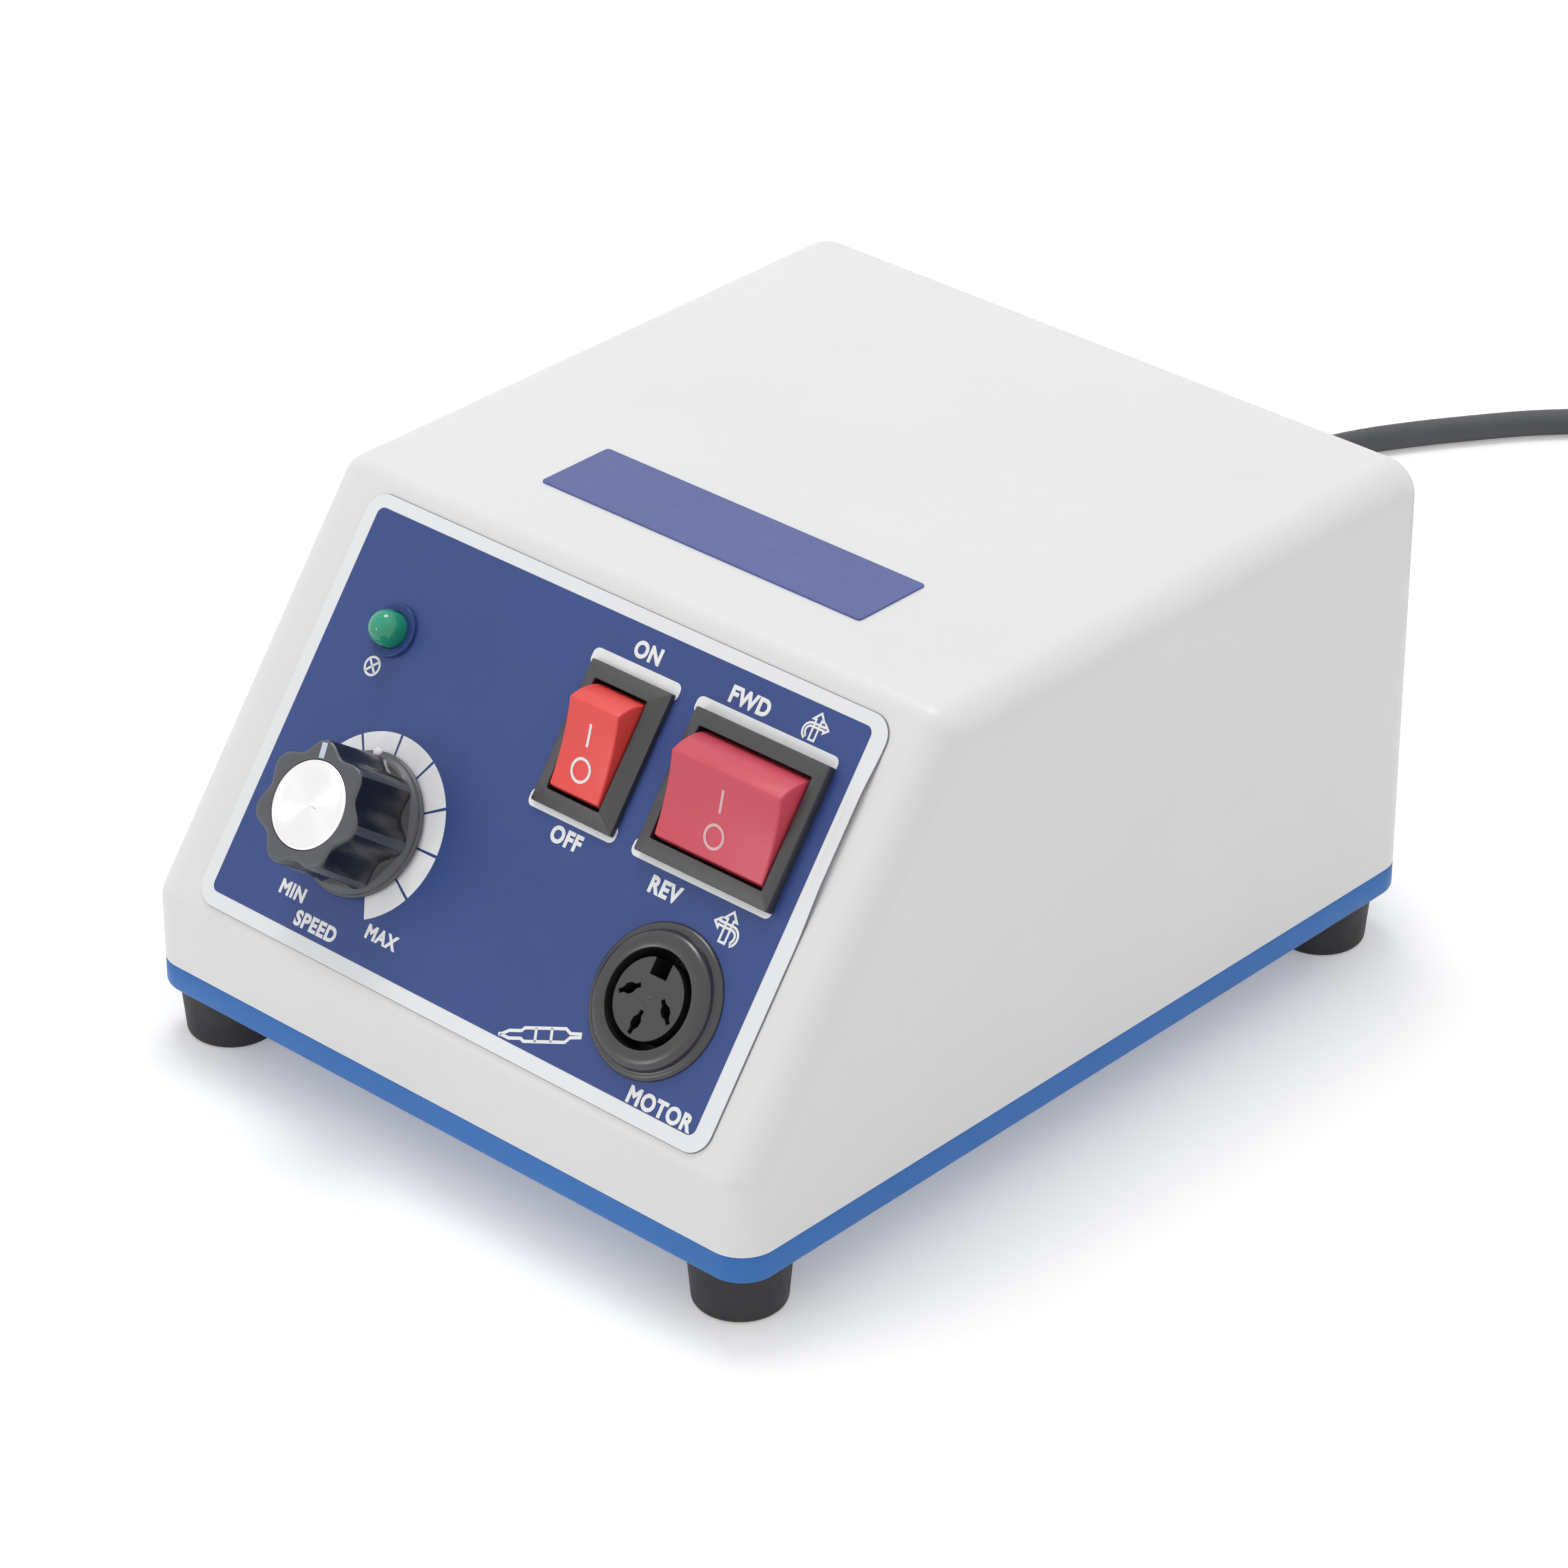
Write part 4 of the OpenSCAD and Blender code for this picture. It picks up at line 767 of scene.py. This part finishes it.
# the film as loft rings with extra points along the right edge, lifted there by a smooth hump: its
# height falls off inwards from the edge, and at both ends along it
def liftedFilm(rings):
    share = np.linspace(0, 1, liftedEdge["points"], endpoint=False)
    size = rings.shape[1]
    order = np.sort(np.concatenate([np.arange(size), overlay["cornerSteps"] + share[1:]]))
    whole = np.floor(order).astype(int)
    part = (order - whole)[None, :, None]
    fine = rings[:, whole % size] * (1 - part) + rings[:, (whole + 1) % size] * part
    edge = smoothStep((fine[..., 0] - overlayWidth / 2 + liftedEdge["width"]) / liftedEdge["width"])
    along = fine[..., 1] / overlayLength
    hump = smoothStep((along - liftedEdge["riseFrom"]) / liftedEdge["rise"])
    hump *= smoothStep((liftedEdge["fallTo"] - along) / liftedEdge["fall"])
    fine[..., 2] += liftedEdge["height"] * edge * hump
    return fine


filmFine = liftedFilm(filmRings)
filmEdge = loft(filmFine[:2], capStart=False, capEnd=False)
filmBorder = loft(filmFine[1:], capStart=False, capEnd=False)
filmSheet = sheetWithHoles(filmOutlines[-1] + filmShift, panelHoles)
addPiece("frontOverlay", [seated(filmBorder, filmSeat), raised(filmSheet, filmTop, panelSeat)], filmWhite,
         replaced=("front_overlay",), closed=False)
# the slanted side wall in grey, a painted shadow line where the film meets the panel
addPiece("overlayEdge", [seated(filmEdge, filmSeat)], filmEdgeShadeGrey, closed=False)

# printed field inside the pale border
fieldWidth = overlayWidth - overlay["borderLeft"] - overlay["borderRight"]
fieldLength = overlayLength - overlay["borderTop"] - overlay["borderLow"]
fieldShift = np.array([overlay["shift"] + (overlay["borderLeft"] - overlay["borderRight"]) / 2,
                       overlay["low"] + overlay["borderLow"] + fieldLength / 2])
fieldLevel = filmTop + overlay["step"]
inkLevel = fieldLevel + overlay["step"]
fieldOutline = roundRect(fieldWidth, fieldLength, overlay["fieldCorner"]) + fieldShift
fieldSheet = sheetWithHoles(fieldOutline, panelHoles)
addPiece("overlayField", [raised(fieldSheet, fieldLevel, panelSeat)], filmNavy, closed=False)


# Print on the field: dial ring, strips at the ends of the switches, plain words and simple signs

dial = dict(outer=13.4, inner=9.6, gap=0.45, shift=(0.4, 0.1), steps=14,
            bounds=(216.8, 185.8, 154.8, 123.8, 93.3, 62.4, 30.6, 1.2, -30.1, -63.5))
# middle and size of the area that has a strip at either end
strips = dict(length=2.6, corner=1.0, areas=[((7.09, 45.8), (16.3, 23.5)), ((31.14, 45.7), (25.5, 23.4))])
# words, middle and height
printedWords = [("ON", (7.6, 59.6), 2.5), ("OFF", (7.64, 32.1), 2.5), ("FWD", (26.6, 59.3), 2.5),
                ("REV", (26.4, 31.7), 2.5), ("MOTOR", (40.2, 5.3), 2.5), ("MIN", (-32.5, 8.9), 2.1),
                ("SPEED", (-26.2, 5.9), 2.3), ("MAX", (-14.6, 8.7), 2.1)]
# the signs' middle, way and size, and the corners of one that turns to the right
turnSigns = dict(signs=[((38.2, 59.85), 1, 1.02), ((38.25, 30.85), -1, 1.16)], line=0.3,
                 upright=[[-0.6, -2], [0.6, -2], [0.6, 0.75], [1.25, 0.75], [0, 2.1], [-1.25, 0.75],
                          [-0.6, 0.75]],
                 bend=(-0.7, -0.85), outer=1.35, inner=0.6, fromDeg=90, toDeg=245, steps=16,
                 head=[[1.2, -0.25], [1.2, -0.75], [2.25, 0.12], [1.2, 1.0], [1.2, 0.5]])
lampSign = dict(centre=(-35.8, 41.95), radius=1.3, line=0.34, steps=40)
toolSign = dict(tip=(10.5, 4.3), end=(23.5, 9.2), line=0.44, rings=(0.45, 0.64),
                shares=(0, 0.04, 0.13, 0.27, 0.31, 0.81, 0.87, 1.0),
                halves=(0.25, 0.3, 0.75, 0.75, 1.15, 1.15, 0.5, 0.45))


# one field of the dial: the ring between two radii, from one angle to the next with a gap
def dialField(fromDeg, toDeg):
    gap = math.degrees(dial["gap"] / dial["outer"]) / 2
    centre = np.add(places["knob"], dial["shift"])
    rims = [arcPoints(centre, radius, toDeg + gap, fromDeg - gap, dial["steps"])
            for radius in (dial["inner"], dial["outer"])]
    return band(*rims, closed=False)


# an upright arrow and, a hair over it, a bent one that comes round its side and crosses it
def turnSign(centre, way, size):
    bend, fromDeg, toDeg, steps = (turnSigns[key] for key in ("bend", "fromDeg", "toDeg", "steps"))
    outer = arcPoints(bend, turnSigns["outer"], fromDeg, toDeg, steps)
    inner = arcPoints(bend, turnSigns["inner"], toDeg, fromDeg, steps)
    bent = np.vstack([outer, inner, turnSigns["head"]])
    parts = []
    for corners, lift in ((turnSigns["upright"], 0), (bent, overlay["step"] / 3)):
        points, faces = lineAround(corners, turnSigns["line"])
        placed = (points * [size * way, size] + centre, [face[::way] for face in faces])
        parts.append(raised(placed, inkLevel + lift, panelSeat))
    return parts


# a slim outline along a line, its half width given at shares of the way, with rings across it
def toolOutline():
    tip = np.array(toolSign["tip"])
    run = np.array(toolSign["end"]) - tip
    across = np.array([-run[1], run[0]]) / np.linalg.norm(run)
    spine = tip + run * np.array(toolSign["shares"])[:, None]
    half = np.array(toolSign["halves"])[:, None] * across
    outline = np.vstack([spine - half, (spine + half)[::-1]])
    lines = [lineAround(outline, toolSign["line"])]
    for share in toolSign["rings"]:
        middle = tip + run * share
        lines.append(stroke([middle - across, middle + across], toolSign["line"]))
    return lines


# a ring with two lines that cross at its middle, halfway between upright and level
def lampCross():
    centre = np.array(lampSign["centre"])
    ring = arcPoints(centre, lampSign["radius"], 0, 360, lampSign["steps"])
    reach = lampSign["radius"] * math.sqrt(0.5)
    shapes = [stroke(ring, lampSign["line"])]
    for way in (1, -1):
        arm = np.array([reach, way * reach])
        shapes.append(stroke([centre - arm, centre + arm], lampSign["line"]))
    return shapes


flatPrint = [dialField(a, b) for a, b in zip(dial["bounds"][:-1], dial["bounds"][1:])]
for centre, size in strips["areas"]:
    strip = roundRect(size[0], strips["length"], strips["corner"]) + centre
    reach = (size[1] - strips["length"]) / 2
    flatPrint += [patch(strip + [0, way * reach]) for way in (-1, 1)]
flatPrint += toolOutline()
flatPrint += lampCross()
printParts = [raised(part, inkLevel, panelSeat) for part in flatPrint]
for sign in turnSigns["signs"]:
    printParts += turnSign(*sign)
for entry in printedWords:
    letters, faces = lettering(*entry)
    printParts.append(seated((letters + [0, 0, inkLevel], faces), panelSeat))
addPiece("overlayPrint", printParts, inkWhite, closed=False)


# Label on the top: a thin printed strip

label = dict(width=60, depth=13.5, back=18.7, corner=0.6, cornerSteps=5, thick=0.3, bevel=0.06)

labelSeat = onFloor(overlay["shift"], browY + label["back"], topZ)
labelOutlines = [roundRect(label["width"], label["depth"], label["corner"], label["cornerSteps"], inset)
                 for inset in (0, 0, label["bevel"])]
labelRings = stack(labelOutlines, [0, label["thick"] - label["bevel"], label["thick"]])
addPiece("topLabel", [seated(loft(labelRings, capStart=False), labelSeat)], labelNavy,
         replaced=("top_label",), closed=False)
print("print made")


# Pilot lamp: a lens with a domed front in a low clear ring

lamp = dict(radius=2.6, rise=2.2, domeSteps=24, ringOuter=3.9, ringHigh=1.0, ringGap=0.05, ringRound=0.3,
            ringInnerRound=0.15)

lampSeat = onPanel(*places["lamp"])
domeTurn = np.linspace(0, math.pi / 2, lamp["domeSteps"])
dome = np.column_stack([lamp["radius"] * np.cos(domeTurn), lamp["rise"] + lamp["radius"] * np.sin(domeTurn)])
lensProfile = np.vstack([[[pole, filmTop], [lamp["radius"], filmTop]], dome])
addPiece("lampLens", [seated(turned(lensProfile, sides=64), lampSeat)], lampGreen,
         replaced=("lamp_lens",))
ringInner = lamp["radius"] + lamp["ringGap"]
clipProfile = filleted([[ringInner, filmTop], [lamp["ringOuter"], filmTop],
                        [lamp["ringOuter"], lamp["ringHigh"]], [ringInner, lamp["ringHigh"]]],
                       [0, 0, lamp["ringRound"], lamp["ringInnerRound"]])
clipRing = turned(np.vstack([clipProfile, clipProfile[:1]]), sides=64)
addPiece("lampClip", [seated(clipRing, lampSeat)], clipClear, replaced=("lamp_clip",))


# Speed knob: seven hollows round a cone on a skirt; the radius at angle a and height h is that of the
# cone less the depth of the hollow, a raised cosine that fades towards the skirt and the front's middle

knob = dict(teeth=7, depth=1.45, land=0.04, halfShare=1.0, sharpness=1.1, pointerDeg=100.5, sidesPerTooth=40,
            cap=6.4, high=13.4)
# radius, height and share of the hollow at each ring
knobRings = np.array([[8.6, 0.8, 0], [10.3, 0.8, 0], [10.45, 0.87, 0], [10.5, 1.0, 0], [10.46, 1.25, 0],
                      [10.3, 1.38, 0], [10.22, 1.48, 0], [10.24, 1.6, 0], [10.24, 1.78, 0], [10.17, 1.98, 0],
                      [10.02, 2.14, 0], [9.86, 2.22, 0], [9.76, 2.32, 0], [9.7, 2.45, 0.08],
                      [9.68, 2.6, 0.35], [9.67, 2.8, 0.72], [9.66, 3.05, 0.93], [9.64, 3.4, 1],
                      [9.54, 7.5, 1], [9.46, 10, 1], [9.38, 12.5, 1], [9.34, 12.8, 1], [9.25, 13.06, 1],
                      [9.07, 13.26, 1], [8.82, 13.36, 0.98], [8.2, 13.4, 0.8], [7.2, 13.4, 0.35],
                      [6.6, 13.4, 0], [6.48, 13.36, 0], [6.44, 13.2, 0], [6.44, 12.9, 0], [3, 12.9, 0]])
skirtEnd = 14  # numbers of the rings between which the fluted body stands
frontStart = 22

knobSeat = onPanel(*places["knob"])
pointerTurn = math.radians(knob["pointerDeg"])
knobAngle = np.linspace(0, 2 * math.pi, knob["teeth"] * knob["sidesPerTooth"], endpoint=False)
toothPitch = 2 * math.pi / knob["teeth"]
offHollow = np.mod(knobAngle - pointerTurn, toothPitch) - toothPitch / 2
hollowShare = np.clip(offHollow / (toothPitch / 2 * knob["halfShare"]), -1, 1)
hollow = knob["depth"] * (0.5 + 0.5 * np.cos(math.pi * hollowShare)) ** knob["sharpness"]
knobRadius = knobRings[:, :1] - knobRings[:, 2:] * hollow[None]
knobPoints = np.stack([knobRadius * np.cos(knobAngle), knobRadius * np.sin(knobAngle),
                       np.broadcast_to(knobRings[:, 1:2], knobRadius.shape)], axis=2)
bodyPoints, bodyFaces = loft(knobPoints[skirtEnd:frontStart + 1], False, False)
isLand = np.tile(hollow < knob["land"] * knob["depth"], frontStart - skirtEnd)
fluteFaces = [face for face, land in zip(bodyFaces, isLand) if not land]
landFaces = [face for face, land in zip(bodyFaces, isLand) if land]
addPiece("speedKnob", [seated((bodyPoints, fluteFaces), knobSeat)], knobBlack, body="knob",
         replaced=("speed_knob",), closed=False)
# front, skirt and ridges take the lighter grey, painted light on the knob's one black plastic
frontParts = [loft(knobPoints[:skirtEnd + 1], True, False), (bodyPoints, landFaces),
              loft(knobPoints[frontStart:], False, True)]
addPiece("knobFront", [seated(part, knobSeat) for part in frontParts], knobLitGrey, body="knob",
         closed=False)

# white line on the front, its ink darkened by painted shade, and dot on the skirt
pointer = dict(start=6.65, end=8.85, width=0.95)
dot = dict(out=10.1, level=2.05, radius=0.72, rise=0.42, edgeTurn=-0.4, steps=10)

pointerWay = np.array([math.cos(pointerTurn), math.sin(pointerTurn)])
pointerLine = stroke([pointerWay * pointer["start"], pointerWay * pointer["end"]], pointer["width"])
addPiece("knobPointer", [raised(pointerLine, knob["high"] + overlay["step"], knobSeat)], pointerInkShaded,
         body="knob", closed=False)
dotTurn = np.linspace(math.pi / 2, dot["edgeTurn"], dot["steps"])
dotProfile = np.column_stack([dot["radius"] * np.cos(dotTurn), dot["level"] + dot["rise"] * np.sin(dotTurn)])
dotSeat = (knobSeat[0] + np.append(pointerWay * dot["out"], 0) @ knobSeat[1], knobSeat[1])
addPiece("knobDot", [seated(turned(dotProfile, sides=32), dotSeat)], inkWhite, body="knob")

# spun cap: a shallow dish with a bevelled rim and a map that follows its turning
capProfile = np.array([[pole, 13.36], [1.5, 13.362], [3, 13.37], [4.6, 13.385], [5.85, 13.4], [6.1, 13.46],
                       [6.3, 13.4], [knob["cap"], 13.2], [knob["cap"], 12.95]])
capPiece = addPiece("knobCap", [seated(turned(capProfile, sides=128), knobSeat)], capMetal,
                    body="knob", replaced=("knob_cap",), sharp=60)


# the map's first axis runs round the seat's axis and its second is the distance from it, as a share of
# the cap's radius; a corner's turn lies within half a turn of its face's, and the tip takes the face's
def addTurnMap(piece, seat, tip=0.01):
    mesh = piece.data
    layer = mesh.uv_layers.new(name="turn")
    corner = readAll(mesh.loops, "vertex_index", kind=int)
    faceSize = readAll(mesh.polygons, "loop_total", kind=int)
    local = (readAll(mesh.vertices, "co", 3) / mm - seat[0]) @ seat[1].T
    faceLocal = (readAll(mesh.polygons, "center", 3) / mm - seat[0]) @ seat[1].T
    faceTurn = np.repeat(np.arctan2(faceLocal[:, 1], faceLocal[:, 0]), faceSize)
    turn = np.arctan2(local[corner, 1], local[corner, 0])
    turn = faceTurn + np.mod(turn - faceTurn + math.pi, 2 * math.pi) - math.pi
    radius = np.hypot(local[corner, 0], local[corner, 1])
    turn = np.where(radius < tip, faceTurn, turn)
    layer.data.foreach_set("uv", np.column_stack([turn / (2 * math.pi), radius / knob["cap"]]).ravel())


addTurnMap(capPiece, knobSeat)
print("knob made")


# Rocker switches: a frame with sloping faces round a well, and a dished rocker on a cross axis

frames = dict(length=21, corner=0.25, wellCorner=0.2, cornerSteps=3, wellFloor=-4,
              power=dict(width=15, wellWidth=9.8, wellLength=16.3, low=1.3, high=2.4),
              direction=dict(width=24.1, wellWidth=20.4, wellLength=16.4, low=2.0, high=2.2))


# rings of rectangles from the panel up the sides, over the sloping faces and down the well, with small
# steps that round the edges
def frameRings(size):
    low = size["low"]
    high = size["high"]
    outer = np.array([size["width"], frames["length"]])
    well = np.array([size["wellWidth"], size["wellLength"]])
    rims = [(outer, filmTop), (outer, low - 0.15), (outer - 0.1, low - 0.04), (outer - 0.3, low + 0.02)]
    wells = [(well + 0.5, high - 0.03), (well + 0.2, high), (well + 0.02, high - 0.12), (well, high - 0.5),
             (well, frames["wellFloor"])]
    outlines = [roundRect(*span, frames["corner"], frames["cornerSteps"]) for span, level in rims]
    outlines += [roundRect(*span, frames["wellCorner"], frames["cornerSteps"]) for span, level in wells]
    return stack(outlines, [level for span, level in rims + wells])


for key, node in (("power", "power_switch"), ("direction", "direction_switch")):
    addPiece(key + "Frame", [seated(loft(frameRings(frames[key]), capStart=False), onPanel(*places[key]))],
             switchBlack, replaced=(node,), sharp=25)

rockers = dict(dish=36, low=1.6, edge=0.3, edgeSteps=5, cornerRound=0.3, arcSteps=7, dishPoints=16,
               power=dict(width=9.1, radius=7.8, face=4.6, pivot=0.1, tiltDeg=17),
               direction=dict(width=19.7, radius=8.1, face=5.4, pivot=-1, tiltDeg=19.5))
rockerSigns = dict(lineAt=(0, 2.1), lineLength=3.3, lineWidth=0.42, linePoints=9, ringAt=(0, -2.9),
                   ringRadius=1.6, ringLine=0.4, ringSteps=48)


# height of the dished face over the axis at a distance along it: an arc of the dish's radius through
# both upper corners of the drum
def rockerFace(size, along):
    halfFace2 = size["radius"] ** 2 - size["face"] ** 2
    middle = size["face"] + math.sqrt(rockers["dish"] ** 2 - halfFace2)
    return middle - np.sqrt(rockers["dish"] ** 2 - np.asarray(along, float) ** 2)


# drum arcs at both ends, a dished face between them and a flat below
def rockerOutline(size):
    radius = size["radius"]
    top = math.degrees(math.asin(size["face"] / radius))
    bottom = -math.degrees(math.asin(rockers["low"] / radius))
    rightArc = arcPoints((0, 0), radius, bottom, top, rockers["arcSteps"])
    along = np.linspace(rightArc[-1, 0], -rightArc[-1, 0], rockers["dishPoints"])[1:-1]
    dish = np.column_stack([along, rockerFace(size, along)])
    leftArc = (rightArc * [-1, 1])[::-1]
    corners = np.vstack([rightArc, dish, leftArc])
    radii = np.zeros(len(corners))
    radii[[len(rightArc) - 1, len(rightArc) + len(dish)]] = rockers["cornerRound"]
    return corners, radii


# seat of a rocker: the switch's place, lifted to the axis and tipped about it
def rockerSeat(key):
    size = rockers[key]
    origin, axes = onPanel(*places[key])
    tilt = math.radians(size["tiltDeg"])
    along = math.cos(tilt) * axes[1] + math.sin(tilt) * axes[2]
    out = math.cos(tilt) * axes[2] - math.sin(tilt) * axes[1]
    return origin + size["pivot"] * axes[2], np.array([axes[0], along, out])


# flat signs laid on the dished face
def onRocker(part, key):
    flat, faces = part
    height = rockerFace(rockers[key], flat[:, 1]) + overlay["step"]
    return seated((np.column_stack([flat, height]), faces), rockerSeat(key))


lineX, lineY = rockerSigns["lineAt"]
half = rockerSigns["lineLength"] / 2
linePoints = rockerSigns["linePoints"]
lineSpine = np.column_stack([np.full(linePoints, lineX), np.linspace(lineY + half, lineY - half, linePoints)])
ringSpine = arcPoints(rockerSigns["ringAt"], rockerSigns["ringRadius"], 0, 360, rockerSigns["ringSteps"])
signParts = [stroke(lineSpine, rockerSigns["lineWidth"]), stroke(ringSpine, rockerSigns["ringLine"])]
for key, node, material, ink in (("power", "power_rocker", rockerRed, inkWhite),
                                 ("direction", "direction_rocker", rockerRoseSheen, roseInk)):
    outline, radii = rockerOutline(rockers[key])
    edge = rockers["edge"]
    solid = pillow(outline, radii, edge, rockers[key]["width"], edge, rockers["edgeSteps"])
    addPiece(key + "Rocker", [seated(solid, rockerSeat(key))], material, body=node,
             replaced=(node,))
    addPiece(key + "Signs", [onRocker(part, key) for part in signParts], ink, body=node,
             closed=False)
print("switches made")


# Motor socket: a flange with a broad round rim round the bore; the keyed insert is the CAD node

socket = dict(bore=6.97, deep=-6, foot=7.97)

socketSeat = onPanel(*places["socket"])

# up from the bore's depth, over the raised face and its shoulder, into a valley and over the lower rim
flangeProfile = np.array([[socket["bore"], socket["deep"]], [socket["bore"], 2.2], [7.03, 2.33], [7.17, 2.4],
                          [8.1, 2.4], [8.5, 2.37], [8.86, 2.28], [9.16, 2.14], [9.4, 1.95], [9.56, 1.72],
                          [9.65, 1.46], [9.7, 1.2], [9.79, 1.02], [9.94, 0.95], [10.12, 0.96], [10.3, 0.95],
                          [10.5, 0.88], [10.68, 0.76], [10.81, 0.6], [10.89, 0.42], [10.9, filmTop],
                          [socket["foot"], filmTop]])
flangeRing = turned(np.vstack([flangeProfile, flangeProfile[:1]]), sides=128)
addPiece("motorSocket", [seated(flangeRing, socketSeat)], socketBlack,
         replaced=("motor_socket",))

# small bump at the middle of the insert
pipProfile = np.array([[pole, 2.34], [0.2, 2.32], [0.34, 2.26], [0.4, 2.19]])
addPiece("socketPip", [seated(turned(pipProfile, sides=24), socketSeat)], socketBlack)
print("socket made")


# Strain relief: a collar and a taper whose radius swells and narrows along it; each groove is a cosine
# wave whose low and high parts are flattened by a soft step

boot = dict(collar=5.6, collarThick=2, collarRound=0.4, collarBevel=0.12, inside=-2, start=4.6, end=3.2,
            steps=120, rings=5, groove=0.55, grooveFrom=0.12, grooveSpan=0.8, steepness=2.2, flatPart=0.6)

bootLength = bootHigh[1] - rearY
bootAlong = np.linspace(boot["collarThick"], bootLength, boot["steps"])
bootShare = (bootAlong - boot["collarThick"]) / (bootLength - boot["collarThick"])
grooveShare = np.clip((bootShare - boot["grooveFrom"]) / boot["grooveSpan"], 0, 1)
bootWave = 0.5 - 0.5 * np.cos(2 * math.pi * boot["rings"] * grooveShare)
bootTaper = boot["start"] + (boot["end"] - boot["start"]) * bootShare
bootRadius = bootTaper - boot["groove"] * smoothStep(boot["steepness"] * bootWave - boot["flatPart"])
collar = boot["collar"]
collarTop = boot["collarThick"]
collarProfile = [[0, boot["inside"]], [collar, boot["inside"]], [collar, collarTop - boot["collarRound"]],
                 [collar - boot["collarBevel"], collarTop - boot["collarBevel"]],
                 [collar - boot["collarRound"], collarTop], [bootRadius[0], collarTop]]
bootProfile = np.vstack([collarProfile, np.column_stack([bootRadius, bootAlong]), [[leadRadius, bootLength]]])
bootSeat = onRear(bootMiddle[0], bootMiddle[2])
addPiece("strainRelief", [seated(turned(bootProfile, sides=64), bootSeat)], bootBlack,
         replaced=("strain_relief",))
print("rear made")


# Finishes of the CAD nodes that keep their own shape

keptFinish = {
    steel: ("foot_screws", "lamp_leads", "pot_shaft", "pot_nut", "pot_washer", "transformer_strap",
            "transformer_screws", "board_screws", "fuse_link", "foot_jack_nut"),
    brass: ("pot_bushing", "pot_terminals", "power_switch_terminals", "direction_switch_terminals",
            "socket_contacts", "board_standoffs"),
    socketBlack: ("socket_insert", "socket_nut", "foot_jack", "fuse_holder", "fuse_nut", "fuse_cap"),
    coreIron: ("transformer_core", "pot_body"),
    copper: ("transformer_winding",),
    boardGreen: ("control_board", "terminal_block"),
    partBlack: ("bridge_rectifier", "power_transistor"),
    sleeveNavy: ("filter_capacitors",),
    sinkMetal: ("heat_sink",),
}
for material, names in keptFinish.items():
    for name in names:
        for slotPlace in nodes[name].material_slots:
            slotPlace.material = material


# Floor, light and background

studio = dict(floorHalf=4.0, floorTone=0.93, floorMottle=0.01, floorBlotch=3, floorGlow=0.27, ambient=0.65,
              middle=(0, 0, 0.04), lamps=dict(keyLamp=((-0.3, 0.2, 1.3), 0.45, 4.8),
                                              frontLamp=((-0.45, -1.2, 0.2), 0.3, 1.2)))


# 1 where a surface is seen, mirrored or looked through, 0 where it only sheds light: the highest of
# the three rays' marks
def seenOnly(tree):
    rays = addNode(tree, "ShaderNodeLightPath").outputs
    seen = rays["Is Camera Ray"]
    for kind in ("Is Glossy Ray", "Is Transmission Ray"):
        either = addNode(tree, "ShaderNodeMath", operation="MAXIMUM")
        tree.links.new(seen, either.inputs[0])
        tree.links.new(rays[kind], either.inputs[1])
        seen = either.outputs[0]
    return seen


# a strength that goes from one level as a lamp to another where it is seen
def seenLevel(tree, asLamp, whereSeen):
    level = addNode(tree, "ShaderNodeMapRange", {"To Min": asLamp, "To Max": whereSeen})
    tree.links.new(seenOnly(tree), level.inputs["Value"])
    return level.outputs["Result"]


reach = studio["floorHalf"]
floorMesh = bpy.data.meshes.new("floor")
floorMesh.from_pydata([(-reach, -reach, 0), (reach, -reach, 0), (reach, reach, 0), (-reach, reach, 0)], [],
                      [(0, 1, 2, 3)])
floor = addObject("floor", floorMesh)
floorMaterial, floorTree, floorShader = startMaterial("paleFloor", {
    "Roughness": 0.9, "Specular IOR Level": 0.0, "Emission Color": (1, 1, 1, 1)})
floorPlace = addNode(floorTree, "ShaderNodeTexCoord").outputs["Object"]
pale = (studio["floorTone"],) * 3 + (1,)
paler = (studio["floorTone"] + studio["floorMottle"],) * 3 + (1,)
linkAll(floorTree, floorShader, {
    "Base Color": mottled(floorTree, floorPlace, studio["floorBlotch"], pale, paler),
    "Emission Strength": seenLevel(floorTree, 0.0, studio["floorGlow"])})
floorMesh.materials.append(floorMaterial)

world = bpy.data.worlds.new("studioWorld")
bpy.context.scene.world = world
world.use_nodes = True
sky = world.node_tree
background = sky.nodes["Background"]
background.inputs["Color"].default_value = (1, 1, 1, 1)
linkAll(sky, background, {"Strength": seenLevel(sky, studio["ambient"], 1.0)})

# square soft lamps that look at the middle of the object: place, size and power
for name, (place, size, power) in studio["lamps"].items():
    lampData = bpy.data.lights.new(name, "AREA")
    lampData.energy = power
    lampData.size = size
    aimed(addObject(name, lampData), place, Vector(studio["middle"]) - Vector(place))

bpy.context.scene.view_settings.view_transform = "Standard"
print("studio lit")

bpy.context.view_layer.update()
